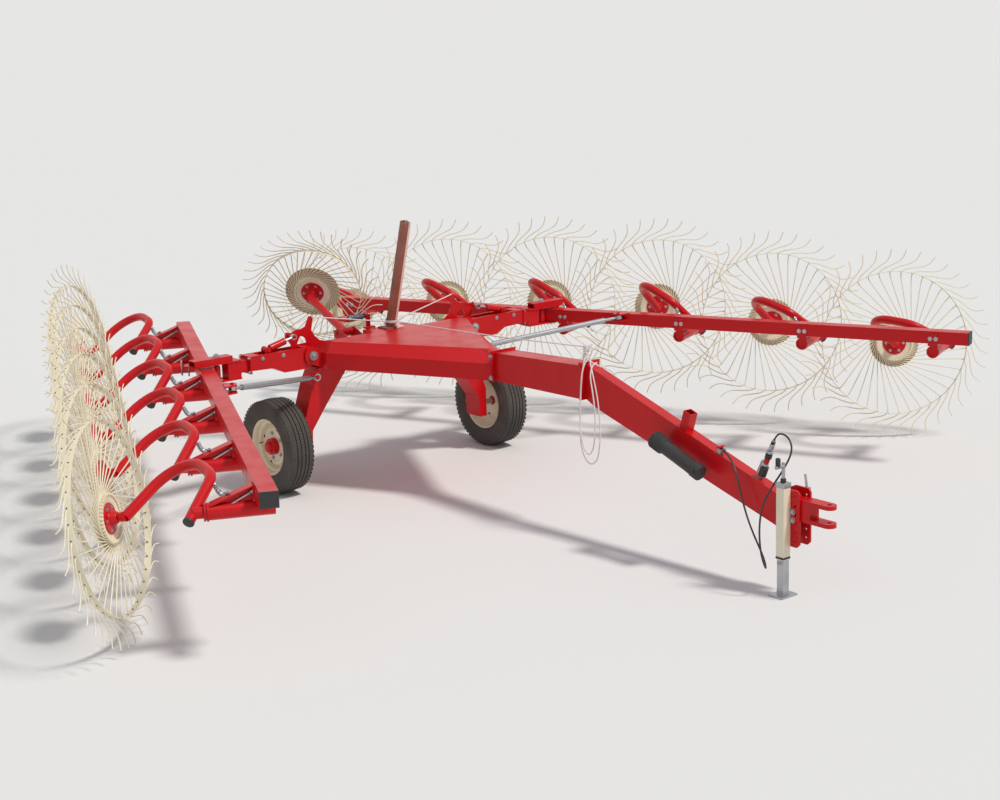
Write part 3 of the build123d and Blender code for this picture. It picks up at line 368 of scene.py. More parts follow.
def addPaintedHighlight(material, values):
    tree = material.node_tree
    place = tree.nodes.new("ShaderNodeTexCoord")
    apart = tree.nodes.new("ShaderNodeSeparateXYZ")
    tree.links.new(place.outputs["Object"], apart.inputs["Vector"])
    # painted highlight: the mask lays the pale sunlit colour on the post's left-hand wall
    mask = rampNode(tree, apart.outputs["X"], values["edge"], values["edge"] + values["blur"])
    coverColor(tree, mask, values["color"])


addPaintedHighlight(materials["postShadedPaint"], postHighlightValues)

nodeFinishes = {
    "redPaint": [
        "centre_frame", "frame_legs", "wing_ears", "hook_plates", "kicker_arm", "kicker_bracket",
        "tongue_rear", "tongue_front", "hitch_plates", "hitch_clevis", "link_pins", "jack_stub",
        "wing_arm_left", "wing_arm_right", "wing_head_left", "wing_head_right", "beam_left", "beam_right",
        "beam_brackets_left", "beam_brackets_right", "rake_arms_left", "rake_arms_right",
        "cylinder_barrel_left", "cylinder_barrel_right",
    ],
    "ropeFibre": ["pull_rope"],
    "bareSteel": [
        "axle_spindles", "fold_pins", "jack_leg", "turnbuckle_left", "turnbuckle_right",
        "cylinder_rod_left", "cylinder_rod_right", "hose_fittings",
    ],
    "creamPaint": ["jack_tube", "wheel_rim_left", "wheel_rim_right", "kicker_wheel"]
    + [f"rake_wheel_{side}_{index}" for side in ("left", "right") for index in range(1, 7)],
    "postShadedPaint": ["sign_post"],
    "blackPlastic": ["beam_cap_left", "beam_cap_right", "document_tube"],
    "tyreRubber": ["tyre_left", "tyre_right"],
}
for finish, nodeNames in nodeFinishes.items():
    for nodeName in nodeNames:
        mesh = frame["nodes"][nodeName].data
        mesh.materials.clear()
        mesh.materials.append(materials[finish])
hose.data.materials.append(materials["hoseRubber"])
print("CAD nodes painted")

# modelling helpers
workshopValues = {"weld": 0.00003, "bevelSegments": 2, "sharpEdge": 35, "sharpTubeEdge": 50}


def pick(*chosen):
    bpy.ops.object.select_all(action="DESELECT")
    for piece in chosen:
        piece.select_set(True)
    bpy.context.view_layer.objects.active = chosen[0]


def faceOut(piece):
    pick(piece)
    bpy.ops.object.mode_set(mode="EDIT")
    bpy.ops.mesh.select_all(action="SELECT")
    bpy.ops.mesh.remove_doubles(threshold=workshopValues["weld"])
    bpy.ops.mesh.normals_make_consistent(inside=False)
    bpy.ops.object.mode_set(mode="OBJECT")


def smooth(edge):  # the picked piece, apart from edges sharper than this many degrees
    bpy.ops.object.shade_smooth_by_angle(angle=math.radians(workshopValues[edge]))


def paint(piece, finish):
    piece.data.materials.clear()
    piece.data.materials.append(materials[finish])
    return piece


def bevelEdges(piece, width):
    edge = piece.modifiers.new("edge", "BEVEL")
    edge.width = width
    edge.segments = workshopValues["bevelSegments"]
    bpy.ops.object.modifier_apply(modifier="edge")


def lathe(name, profile, steps, finish):  # profile is a closed outline of (radius, height), spun about Z
    data = bpy.data.meshes.new(name)
    count = len(profile)
    data.from_pydata(
        [(radius, 0, height) for radius, height in profile],
        [(index, (index + 1) % count) for index in range(count)], [],
    )
    piece = bpy.data.objects.new(name, data)
    bpy.context.scene.collection.objects.link(piece)
    pick(piece)
    spin = piece.modifiers.new("spin", "SCREW")
    spin.steps = spin.render_steps = steps
    spin.use_merge_vertices = True
    bpy.ops.object.modifier_apply(modifier="spin")
    faceOut(piece)
    smooth("sharpEdge")
    return paint(piece, finish)


def tube(name, points, radius, finish, sides=6, steps=3, order=3):
    piece = drawCurve(name, points, radius, sides, steps, order)
    pick(piece)
    bpy.ops.object.convert(target="MESH")
    faceOut(piece)
    smooth("sharpTubeEdge")
    return paint(piece, finish)


def drum(radius, depth, place, finish, sides=24, bevel=0.0, toward=(0, 0, 1)):
    bpy.ops.object.select_all(action="DESELECT")
    bpy.ops.mesh.primitive_cylinder_add(
        vertices=sides, radius=radius, depth=depth, location=place,
        rotation=Vector(toward).to_track_quat("Z", "Y").to_euler(),
    )
    piece = bpy.context.object
    bpy.ops.object.transform_apply()
    if bevel:
        bevelEdges(piece, bevel)
    smooth("sharpEdge")
    return paint(piece, finish)


def rod(start, end, radius, finish, sides, bevel):  # a drum between two points
    return drum(radius, (end - start).length, start.lerp(end, 0.5), finish, sides, bevel, end - start)


def box(size, place, finish, bevel=0.002, turn=None):
    bpy.ops.object.select_all(action="DESELECT")
    bpy.ops.mesh.primitive_cube_add(size=1, location=place, scale=size)
    piece = bpy.context.object
    if turn:
        piece.rotation_euler = turn
    bpy.ops.object.transform_apply()
    bevelEdges(piece, bevel)
    return paint(piece, finish)


def joined(name, parts):
    pick(*parts)
    bpy.ops.object.join()
    piece = bpy.context.object
    piece.name = piece.data.name = name
    return piece


def copied(source, name, matrix):
    twin = source.copy()
    twin.data = source.data.copy()
    twin.data.transform(matrix)
    if matrix.determinant() < 0:
        twin.data.flip_normals()
    twin.name = twin.data.name = name
    bpy.context.scene.collection.objects.link(twin)
    return twin


def ringOf(source, name, count, start=0.0):  # copies of a form, turned round Z
    step = 2 * math.pi / count
    return [
        copied(source, f"{name}{index}", Matrix.Rotation(start + index * step, 4, "Z"))
        for index in range(count)
    ]


def drop(*sources):
    for source in sources:
        bpy.data.objects.remove(source)


def settle(piece, body, slot, *replacedNodes):
    pick(piece)
    bpy.ops.object.transform_apply()
    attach(piece, body)
    if replacedNodes:
        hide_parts(*replacedNodes)


def frameAt(place, toward, size=1.0):
    turn = Vector(toward).to_track_quat("Z", "Y").to_matrix().to_4x4()
    return Matrix.Translation(Vector(place)) @ turn @ Matrix.Scale(size, 4)


def polar(radius, angle, height=0.0):
    return Vector((radius * math.cos(angle), radius * math.sin(angle), height))


mirrorX = Matrix.Diagonal((-1, 1, 1, 1))
bothSides = (("left", Matrix.Identity(4)), ("right", mirrorX))

# the beam's own directions, from the top edge of its rear end; each wheel arm stands at a station along it
beamValues = {
    "angle": 24.64,
    "rear": (0.742, 1.597, 0.975),
    "firstArm": 0.144,
    "armSpacing": 0.9385,
    "sleeveBack": 0.062,
    "sleeveDrop": 0.1455,
    "raised": {"left": (0, 13, 19, 20.5, 12, 0), "right": (0, 0, 0, 0, 0, 0)},  # degrees
}
beamAngle = math.radians(beamValues["angle"])
beamAlong = Vector((math.sin(beamAngle), -math.cos(beamAngle), 0))
beamOutward = Vector((math.cos(beamAngle), math.sin(beamAngle), 0))
beamRear = at(*beamValues["rear"])
stations = [beamValues["firstArm"] + beamValues["armSpacing"] * index for index in range(6)]


def onBeam(forward, out, up):
    return beamRear + beamAlong * forward + beamOutward * out + Vector((0, 0, up))


def raised(station, place, degreesUp):  # a point of a wheel arm, turned about its sleeve
    back, down = beamValues["sleeveBack"], beamValues["sleeveDrop"]
    angle = math.radians(degreesUp)
    x, z = place[0] + back, place[2] + down
    return onBeam(
        station - back + x * math.cos(angle) + z * math.sin(angle), place[1],
        -down - x * math.sin(angle) + z * math.cos(angle),
    )


# one bolt of unit size: head, washer and the stud's end
def makeBolt():
    head = drum(1.0, 0.7, (0, 0, 0.5), "bareSteel", sides=6, bevel=0.08)
    washer = drum(1.45, 0.2, (0, 0, 0.08), "bareSteel", sides=18)
    stud = drum(0.5, 0.4, (0, 0, 1.0), "bareSteel", sides=10, bevel=0.06)
    return joined("boltForm", [head, washer, stud])


boltForm = makeBolt()


def bolts(name, rows):  # rows of (place, direction, size of the head)
    return joined(name, [
        copied(boltForm, f"{name}{index}", frameAt(place, toward, size))
        for index, (place, toward, size) in enumerate(rows)
    ])


def boltCircle(count, radius, height, toward, size):
    return [(polar(radius, index * 2 * math.pi / count, height), toward, size) for index in range(count)]


# finger wheels: ring, bent tines, two-part dish, red disc with its bolts
wheelValues = {
    "tines": 40,
    "tineRadius": 0.0038,
    "tineOffset": 0.125,  # how far a tine's line passes from the hub's middle
    "tineLevel": 0.0035,
    "tinePast": 0.012,  # the bend lies this far past the ring
    "sweep": 0.086,
    "sweepTurn": 2.2,
    "bowLength": 0.082305,
    "bowRise": 0.006,
    "reach": 0.167,
    "tipTurn": 2.34,
    "clamp": 0.1285,
    "clampRadius": 0.0088,
    "clampDepth": 0.024,
    "ring": [  # outwards from the rim, height
        (-0.0015, -0.0195), (0.0012, -0.020), (0.0022, -0.012), (0.0022, 0.012),
        (0.0012, 0.020), (-0.0015, 0.0195), (-0.0005, 0.011), (-0.0005, -0.011),
    ],
    "frontPlate": [
        (0.06, -0.001), (0.088, -0.001), (0.098, -0.006), (0.118, -0.0095), (0.129, -0.008), (0.133, -0.003),
        (0.129, -0.003), (0.118, -0.0045), (0.099, -0.001), (0.089, 0.004), (0.06, 0.004),
    ],
    "disc": [
        (0.0171, -0.048), (0.030, -0.048), (0.0335, -0.044), (0.038, -0.0135), (0.042, -0.009),
        (0.083, -0.009), (0.085, -0.007), (0.085, -0.002), (0.083, -0.001), (0.0171, -0.001),
    ],
    "cap": [(0.0171, 0.0), (0.034, 0.0), (0.034, 0.022), (0.030, 0.026), (0.0171, 0.026)],
    "bolts": 6,
    "boltCircle": 0.064,
    "boltLevel": -0.009,
    "boltSize": 0.0075,
    "hubBoltLevel": 0.0265,
    "hubBoltSize": 0.013,
}


def tineRoute(rim, values):  # straight out past the ring, back along it, and out at the tip
    level, offset = values["tineLevel"], values["tineOffset"]
    ringAngle = math.asin(offset / rim)
    bow = values["bowLength"] / rim
    first = Vector((math.sqrt(values["clamp"] ** 2 - offset ** 2), offset, level))
    corner = Vector((math.sqrt(rim ** 2 - offset ** 2) + values["tinePast"], offset, level))
    sweepEnd = polar(rim + values["sweep"], ringAngle + values["sweepTurn"] * bow, level)
    tip = polar(rim + values["reach"], ringAngle + values["tipTurn"] * bow, level)
    mid = corner.lerp(sweepEnd, 0.5) + polar(values["bowRise"], ringAngle + bow)
    return [
        first, first.lerp(corner, 0.5), corner.lerp(first, 0.12), corner,
        mid, sweepEnd, sweepEnd.lerp(tip, 0.7), tip,
    ]


def makeDish(dish, values):
    # the back plate carries the dish's painted shade
    backPlate = lathe("backPlate", [
        (0.03, 0.012), (0.110, 0.012), (0.128, 0.017), (0.150, 0.024), (dish - 0.018, 0.021),
        (dish - 0.006, 0.010), (dish, 0.010), (dish, 0.014), (dish - 0.004, 0.014), (dish - 0.016, 0.026),
        (0.150, 0.029), (0.126, 0.022), (0.108, 0.017), (0.03, 0.017),
    ], 72, "dishShadedPaint")
    frontPlate = lathe("frontPlate", values["frontPlate"], 72, "creamPaint")
    disc = lathe("hubDisc", values["disc"], 48, "redPaint")
    cap = lathe("outerHub", values["cap"], 40, "redPaint")
    rows = boltCircle(
        values["bolts"], values["boltCircle"], values["boltLevel"], (0, 0, -1), values["boltSize"],
    )
    rows.append(((0, 0, values["hubBoltLevel"]), (0, 0, 1), values["hubBoltSize"]))
    return [backPlate, frontPlate, disc, cap, bolts("discBolts", rows)]


def makeWheel(name, rim, dish, values):
    route = tineRoute(rim, values)
    tine = tube("tineForm", route, values["tineRadius"], "creamPaint", steps=5, order=4)
    clamp = drum(
        values["clampRadius"], values["clampDepth"], (route[0].x + 0.002, route[0].y, -0.007), "creamPaint",
        sides=8, bevel=0.002,
    )
    clampedTine = joined("clampedTine", [tine, clamp])
    tines = ringOf(clampedTine, "tine", values["tines"])
    ring = lathe("ringForm", [(rim + out, height) for out, height in values["ring"]], 112, "creamPaint")
    # painted shade: a dark disc in each tine's eye on the ring stands for the shade in the hole
    eye = drum(
        0.0044, 0.0066, (rim + 0.0002, 0, values["tineLevel"]), "holeShade", sides=10, toward=(1, 0, 0),
    )
    eyes = ringOf(eye, "eye", values["tines"], math.asin(values["tineOffset"] / rim))
    drop(clampedTine, eye)
    return joined(name, [ring] + makeDish(dish, values) + tines + eyes)


fieldWheel = makeWheel("fieldWheelForm", 0.531, 0.180, wheelValues)
kickerWheel = makeWheel("kickerWheelForm", 0.3675, 0.206, wheelValues)
jointRows = {row["name"]: row for row in frame["record"]["behaviour"]["joints"]}
for side, turn in bothSides:
    for number in range(1, 7):
        row = jointRows[f"rake_spin_{side}_{number}"]
        wheel = copied(fieldWheel, f"fingerWheel.{side}.{number}", frameAt(row["pos_m"], row["axis"]) @ turn)
        settle(wheel, f"rake_wheel_{side}_{number}", "cream_paint", f"rake_wheel_{side}_{number}")
row = jointRows["kicker_spin"]
wheel = copied(kickerWheel, "kickerFingerWheel", frameAt(row["pos_m"], row["axis"]) @ mirrorX)
settle(wheel, "kicker", "cream_paint", "kicker_wheel")
drop(fieldWheel, kickerWheel)
print("finger wheels placed")

# carrying wheels: ribbed tyre with shoulder blocks, hub cap, wheel bolts and valve
tyreValues = {
    "radius": 0.3315,
    "half": 0.1025,
    "bead": 0.192,
    "track": 0.947,
    "crown": 0.009,  # the tread falls by this much at the shoulder
    "shoulder": 0.078,
    "grooves": (-0.045, -0.016, 0.016, 0.045),
    "grooveDepth": 0.008,
    "grooveTop": 0.0042,
    "grooveFoot": 0.003,
    "blocks": 60,
}
hubValues = {
    "cap": [
        (0.0, 0.092), (0.030, 0.090), (0.040, 0.082), (0.043, 0.066), (0.058, 0.062), (0.058, 0.0222),
        (0.0, 0.0222),
    ],
    "bolts": 5,
    "boltCircle": 0.092,
    "boltLevel": 0.022,
    "boltSize": 0.0115,
    "valve": [(0.148, 0, 0.03), (0.146, 0, 0.045), (0.142, 0, 0.062)],
    "valveRadius": 0.004,
}


def makeTyre(values):
    radius, half, bead = values["radius"], values["half"], values["bead"]
    sidewall = [
        (bead, -0.076), (bead + 0.012, -0.084), (bead + 0.035, -0.096), (0.258, -half + 0.0005),
        (0.285, -half + 0.002), (0.304, -0.096), (0.316, -0.0865), (0.3225, -0.0775),
    ]
    tread = []
    for groove in values["grooves"]:
        level = radius - values["crown"] * (groove / values["shoulder"]) ** 2 - 0.0004
        foot = level - values["grooveDepth"]
        tread += [
            (level, groove - values["grooveTop"]), (foot, groove - values["grooveFoot"]),
            (foot, groove + values["grooveFoot"]), (level, groove + values["grooveTop"]),
        ]
    otherWall = [(reach, -height) for reach, height in reversed(sidewall)]
    tyre = lathe("tyreForm", sidewall + tread + otherWall, 120, "tyreRubber")
    block = box((0.012, 0.030, 0.0042), (0.3195, 0, 0.0855), "tyreRubber", bevel=0.001)
    blocks = [
        copied(
            block, f"block{index}",
            Matrix.Rotation(index * 2 * math.pi / values["blocks"], 4, "Z") @ Matrix.Diagonal((1, 0.72, flip, 1)),
        )
        for index in range(values["blocks"]) for flip in (1, -1)
    ]
    drop(block)
    return joined("tyreForm", [tyre] + blocks)


def makeHub(values):
    cap = lathe("hubCap", values["cap"], 40, "redPaint")
    heads = bolts("wheelBolts", boltCircle(
        values["bolts"], values["boltCircle"], values["boltLevel"], (0, 0, 1), values["boltSize"],
    ))
    valve = tube("valve", values["valve"], values["valveRadius"], "blackPlastic", sides=8)
    return joined("hubForm", [cap, heads, valve])


axlePlace = at(tyreValues["track"], 0, tyreValues["radius"])
axleFrames = {side: turn @ frameAt(axlePlace, (1, 0, 0)) for side, turn in bothSides}
addSipes(materials["tyreRubber"], axlePlace, sipeValues)
tyreForm, hubForm = makeTyre(tyreValues), makeHub(hubValues)
for side, place in axleFrames.items():
    settle(copied(tyreForm, f"roadTyre.{side}", place), f"wheel_{side}", "tyre_rubber", f"tyre_{side}")
    settle(copied(hubForm, f"wheelHub.{side}", place), f"wheel_{side}", "red_paint")
drop(tyreForm, hubForm)
print("carrying wheels placed")

# float springs with their rods, the bolts of the arm brackets and the feet's black caps
springValues = {
    "arm": (-0.243, 0.236, -0.030),
    "sag": (-0.160, 0.215, -0.112),
    "edge": (-0.075, 0.182, -0.058),
    "rod": ((-0.048, 0.168, -0.111), (-0.048, 0.078, -0.064)),
    "rodRadius": 0.0065,
    "coil": 0.0115,
    "wire": 0.0034,
    "turns": 9,
    "perTurn": 8,
    "boltShift": 0.02,
    "boltOut": 0.0583,
    "boltDrop": 0.052,
    "edgeBoltSize": 0.009,
    "rodBoltSize": 0.0085,
    "boltSize": 0.0105,
    "foot": (-0.0328, 0.3855, -0.1725),
    "footRun": (0.0743, 0.0465, -0.0481),
    "footRadius": 0.0312,
    "footDepth": 0.014,
}


def makeSpring(name, low, sag, high, values):
    count = values["turns"] * values["perTurn"]
    route = []
    for index in range(count + 1):
        share = 0.12 + 0.76 * index / count
        before, after = low.lerp(sag, share), sag.lerp(high, share)
        way = (after - before).normalized()
        across = way.cross(Vector((0, 0, 1))).normalized()
        around = polar(values["coil"], index / values["perTurn"] * 2 * math.pi)
        route.append(before.lerp(after, share) + across * around.x + across.cross(way) * around.y)
    coil = tube(f"{name}Coil", route, values["wire"], "bareSteel", steps=2)
    core = tube(f"{name}Core", [low, sag, high], values["rodRadius"], "bareSteel", sides=8, steps=8)
    return joined(name, [coil, core])


def makeArmHardware(degreesUp, values):
    springs, rows, caps = [], [], []
    for index, (station, up) in enumerate(zip(stations, degreesUp)):
        low = raised(station, values["arm"], up)
        sag = raised(station, values["sag"], up * 0.5)
        edge = onBeam(station + values["edge"][0], *values["edge"][1:])
        start, end = (onBeam(station + forward, out, height) for forward, out, height in values["rod"])
        springs.append(makeSpring(f"floatSpring{index}", low, sag, edge, values))
        springs.append(rod(start, end, values["rodRadius"], "bareSteel", sides=12, bevel=0.001))
        rows += [(edge, (0, 0, 1), values["edgeBoltSize"]), (end, end - start, values["rodBoltSize"])]
        for shift in (-values["boltShift"], values["boltShift"]):
            for out in (-1, 1):
                place = onBeam(
                    station - beamValues["sleeveBack"] + shift, out * values["boltOut"], -values["boltDrop"],
                )
                rows.append((place, beamOutward * out, values["boltSize"]))
        foot = raised(station, values["foot"], up)
        further = raised(station, Vector(values["foot"]) + Vector(values["footRun"]), up)
        caps.append(drum(
            values["footRadius"], values["footDepth"], foot.lerp(further, 0.13), "blackPlastic",
            sides=28, bevel=0.003, toward=further - foot,
        ))
    return joined("springForm", springs + [bolts("bracketBolts", rows)] + caps)


for side, turn in bothSides:
    hardware = makeArmHardware(beamValues["raised"][side], springValues)
    settle(copied(hardware, f"beamSprings.{side}", turn), f"rake_beam_{side}", "bare_steel")
    drop(hardware)
print("springs and bolts placed")

# deep wheel rims seen past the tyres
rimValues = {"lip": 0.197, "half": 0.084, "barrel": 0.158, "face": 0.0222, "vents": 4, "firstVent": 0.4}


def makeRim(values):
    lip, half, barrel, face = values["lip"], values["half"], values["barrel"], values["face"]
    outerSide = [
        (0.036, face), (0.062, face), (0.100, face), (0.113, face + 0.010), (0.128, face + 0.006),
        (0.143, face - 0.014), (barrel, face - 0.020), (0.164, 0.036), (0.178, 0.046), (0.182, 0.064),
        (0.188, 0.076), (lip - 0.003, half - 0.002), (lip, half - 0.001), (lip, half - 0.006),
    ]
    tyreSeat = [
        (0.1925, 0.072), (0.187, 0.060), (0.183, 0.044), (0.170, 0.034), (0.166, 0.0), (0.176, -0.022),
        (0.186, -0.058), (0.1925, -0.072), (lip, -half + 0.006), (lip, -half + 0.001),
    ]
    innerSide = [
        (0.191, -half + 0.004), (0.181, -0.058), (0.170, -0.024), (0.160, -0.010), (barrel - 0.005, face - 0.026),
        (0.142, face - 0.020), (0.127, face), (0.112, face + 0.004), (0.100, face - 0.005), (0.036, face - 0.005),
    ]
    rim = lathe("rimForm", outerSide + tyreSeat + innerSide, 72, "creamPaint")
    # painted shade: dark discs stand for the shade in the rim's vent holes
    vent = drum(0.0125, 0.008, (0.126, 0, face + 0.004), "holeShade", sides=18, bevel=0.001)
    vents = ringOf(vent, "vent", values["vents"], values["firstVent"])
    drop(vent)
    return joined("rimForm", [rim] + vents)


rimForm = makeRim(rimValues)
for side, place in axleFrames.items():
    settle(copied(rimForm, f"wheelRim.{side}", place), f"wheel_{side}", "cream_paint", f"wheel_rim_{side}")
drop(rimForm)

# spring of the raised middle wheel, with its wire hook and lug
kickerValues = {
    "left": (-0.262, 0.062, 1.122),
    "right": (-0.150, 0.062, 1.118),
    "radius": 0.019,
    "wire": 0.0042,
    "turns": 14,
    "perTurn": 12,
    "hook": [
        (-0.128, 0.062, 1.122), (-0.112, 0.062, 1.150), (-0.120, 0.062, 1.192), (-0.138, 0.062, 1.186),
        (-0.138, 0.062, 1.160),
    ],
    "hookWire": 0.0035,
}


def addKickerSpring(values):
    left, right, radius = at(*values["left"]), at(*values["right"]), values["radius"]
    count = values["turns"] * values["perTurn"]
    route = []
    for index in range(count + 1):
        around = polar(radius, index / values["perTurn"] * 2 * math.pi)
        route.append(left.lerp(right, index / count) + Vector((0, around.x, around.y)))
    coil = tube("kickerCoil", route, values["wire"], "blueSteel", steps=2)
    core = rod(left, right, radius - 0.003, "blueSteel", sides=20, bevel=0.002)
    hookRoute = [right] + [at(*place) for place in values["hook"]]
    hook = tube("kickerHook", hookRoute, values["hookWire"], "bareSteel", sides=8, steps=6)
    lug = box((0.036, 0.012, 0.130), at(-0.118, 0.034, 1.072), "redPaint", bevel=0.003)
    foot = box((0.085, 0.040, 0.012), at(-0.118, 0.022, 1.046), "redPaint", bevel=0.003)
    eye = drum(0.017, 0.058, at(-0.118, 0.058, 1.122), "blackPlastic", sides=20, bevel=0.003, toward=(0, 1, 0))
    arm = box((0.060, 0.110, 0.030), at(-0.262, 0.105, 1.112), "redPaint", bevel=0.004)
    pins = bolts("kickerBolts", [
        (at(-0.118, 0.089, 1.122), (0, 1, 0), 0.009), (at(-0.262, 0.047, 1.122), (0, -1, 0), 0.010),
    ])
    return joined("kickerSpring", [coil, core, hook, lug, foot, eye, arm, pins])


settle(addKickerSpring(kickerValues), "machine", "bare_steel")

# jack: silver head, crank with black knob, black band
jackValues = {
    "x": -0.0793,
    "y": -3.90,
    "top": 0.645,
    "half": 0.028,
    "band": 0.226,
    "crank": 0.062,
    "crankRise": 0.112,
    "crankRadius": 0.0102,
    "knobRadius": 0.0145,
    "knobLength": 0.052,
}


def addJack(values):
    x, y, top, half, crank = values["x"], values["y"], values["top"], values["half"], values["crank"]
    crankTop = top + values["crankRise"]
    head = box((2 * half + 0.008, 2 * half + 0.008, 0.030), at(x, y, top + 0.004), "bareSteel", bevel=0.004)
    stem = drum(0.0098, 0.120, at(x, y, top + 0.072), "bareSteel", sides=20, bevel=0.001)
    collar = drum(0.016, 0.022, at(x, y, top + 0.030), "blackPlastic", sides=24, bevel=0.003)
    crankRoute = [at(x, y, crankTop), at(x - 0.03, y, crankTop), at(x - crank, y, crankTop)]
    handle = tube("crank", crankRoute, values["crankRadius"], "bareSteel", sides=12, steps=6)
    knob = drum(
        values["knobRadius"], values["knobLength"], at(x - 0.044, y, top + 0.139), "blackPlastic",
        sides=24, bevel=0.006,
    )
    band = box((2 * half + 0.003, 2 * half + 0.003, 0.012), at(x, y, values["band"]), "blackPlastic", bevel=0.001)
    seam = box(
        (0.006, 0.002, top - 0.25), at(x - half + 0.006, y - half - 0.0005, (top + 0.24) / 2), "creamPaint",
        bevel=0.0005,
    )
    return joined("jackFittings", [head, stem, collar, handle, knob, band, seam])


settle(addJack(jackValues), "machine", "bare_steel")

# coupler of the hose: steel collar, red and black rings, black dust cap on its strap, and the hose's guide
couplerValues = {
    "top": (0, -3.756, 0.862),
    "low": (0, -3.664, 0.640),
    "rings": [  # share of the way down, radius, depth, finish, sides
        (0.06, 0.0125, 0.020, "blackPlastic", 20),
        (0.17, 0.0165, 0.034, "bareSteel", 6),
        (0.32, 0.0195, 0.016, "bareSteel", 24),
        (0.44, 0.0205, 0.026, "blackPlastic", 24),
        (0.57, 0.0150, 0.030, "redPaint", 24),
        (0.68, 0.0175, 0.016, "bareSteel", 24),
        (0.86, 0.0245, 0.060, "blackPlastic", 28),
    ],
    "strap": [(0.025, -3.640, 0.655), (0.030, -3.672, 0.705), (0.016, -3.700, 0.735)],
    "guideLean": -23,
}


def addCoupler(values):
    top, low = at(*values["top"]), at(*values["low"])
    way = low - top
    rings = [
        drum(radius, depth, top + way * share, finish, sides=sides, bevel=0.002, toward=way)
        for share, radius, depth, finish, sides in values["rings"]
    ]
    strapRoute = [low] + [at(*place) for place in values["strap"]]
    strap = tube("capStrap", strapRoute, 0.003, "blackPlastic", sides=8, steps=6)
    guide = box(
        (0.040, 0.034, 0.012), at(-0.030, -3.368, 0.762), "redPaint", bevel=0.003,
        turn=(math.radians(values["guideLean"]), 0, 0),
    )
    return joined("couplerRings", rings + [strap, guide])


settle(addCoupler(couplerValues), "machine", "bare_steel")

# papers' tube: black, with a ribbed screw cap, a clasp and two feet, on the tongue's side
paperValues = {
    "high": (-0.130, -2.915, 0.748),
    "low": (-0.130, -3.305, 0.607),
    "radius": 0.049,
    "ribs": 24,
    "claspShare": 0.10,
    "footShares": (0.16, 0.78),
}


def addPaperTube(values):
    high, low, radius = at(*values["high"]), at(*values["low"]), values["radius"]
    length = (high - low).length
    body = lathe("paperBody", [
        (0, 0), (radius - 0.006, 0), (radius - 0.001, 0.004), (radius - 0.001, 0.055), (radius - 0.006, 0.058),
        (radius - 0.006, length - 0.098), (radius - 0.001, length - 0.095), (radius + 0.003, length - 0.090),
        (radius + 0.003, length - 0.006), (radius - 0.003, length), (0, length),
    ], 40, "blackPlastic")
    rib = box((0.004, 0.003, 0.076), (radius + 0.0035, 0, length - 0.048), "blackPlastic", bevel=0.001)
    ribPlaces = [polar(radius + 0.0035, index * 2 * math.pi / values["ribs"]) for index in range(values["ribs"])]
    ribs = [
        copied(rib, f"rib{index}", Matrix.Translation(place - ribPlaces[0]))
        for index, place in enumerate(ribPlaces)
    ]
    drop(rib)
    for part in [body] + ribs:
        part.data.transform(frameAt(low, high - low))
    claspPlace = low.lerp(high, values["claspShare"]) + Vector((-radius, 0, 0.006))
    clasp = box((0.012, 0.050, 0.030), claspPlace, "blackPlastic", bevel=0.003)
    footPlaces = [low.lerp(high, share) + Vector((radius - 0.002, 0, 0)) for share in values["footShares"]]
    feet = [box((0.012, 0.034, 0.050), place, "blackPlastic", bevel=0.003) for place in footPlaces]
    return joined("paperTube", [body, clasp] + ribs + feet)


settle(addPaperTube(paperValues), "machine", "black_plastic", "document_tube")

# bolts of the hitch, the tongue's flanges, the frame's nose and the links' lugs, and the hitch lever
hitchValues = {
    "plate": 0.0505,
    "plateBolts": (0.494, 0.446),
    "flange": (0.112, -1.3505),
    "flangeBolts": (0.88, 1.02),
    "noseBolts": (-0.140, -0.012),
    "lugPin": (0.710, -0.1525, 0.949),
    "lever": [(0.062, -3.950, 0.600), (0.062, -3.946, 0.640), (0.062, -3.934, 0.690)],
    "leverBlock": (0.062, -3.950, 0.602),
}


def addHitchFittings(values):
    flangeX, flangeY = values["flange"]
    pinX, pinY, pinZ = values["lugPin"]
    rows = [(at(0, y, 1.0545), (0, 0, 1), 0.010) for y in values["noseBolts"]]
    for way in (-1, 1):
        rows += [(at(way * values["plate"], -3.945, z), (way, 0, 0), 0.0125) for z in values["plateBolts"]]
        rows += [(at(way * flangeX, flangeY, z), (0, -1, 0), 0.0115) for z in values["flangeBolts"]]
        rows.append((at(way * pinX, pinY, pinZ), (0, -1, 0), 0.017))
    lever = tube("hitchLever", [at(*place) for place in values["lever"]], 0.007, "bareSteel", sides=12, steps=4)
    block = box((0.026, 0.040, 0.034), at(*values["leverBlock"]), "bareSteel", bevel=0.004)
    return joined("hitchFittings", [bolts("hitchBolts", rows), lever, block])


settle(addHitchFittings(hitchValues), "machine", "bare_steel")

# thin rods beside each wing's swing pin, and the wing's bolts
wingValues = {
    "rods": [  # radius, length, place
        (0.006, 0.104, (1.636, 0.030, 0.984)),
        (0.005, 0.076, (1.596, 0.010, 0.962)),
    ],
    "frontBolts": (0.935, 1.100),
    "forkNut": (1.4228, -0.060, 1.0375),
    "flange": 1.2037,
}


def makeWingRods(values):
    rods = [
        drum(radius, length, at(*place), "bareSteel", sides=16, bevel=0.001)
        for radius, length, place in values["rods"]
    ]
    rows = [(at(x, -0.1205, 0.985), (0, -1, 0), 0.010) for x in values["frontBolts"]]
    rows.append((at(*values["forkNut"]), (0, 0, 1), 0.019))
    rows += [(at(values["flange"], y, z), (1, 0, 0), 0.009) for y in (-0.118, -0.002) for z in (0.905, 1.0)]
    return joined("wingForm", rods + [bolts("wingBolts", rows)])


wingForm = makeWingRods(wingValues)
for side, turn in bothSides:
    settle(copied(wingForm, f"wingRods.{side}", turn), f"wing_{side}", "bare_steel")
drop(wingForm)
print("fittings placed")

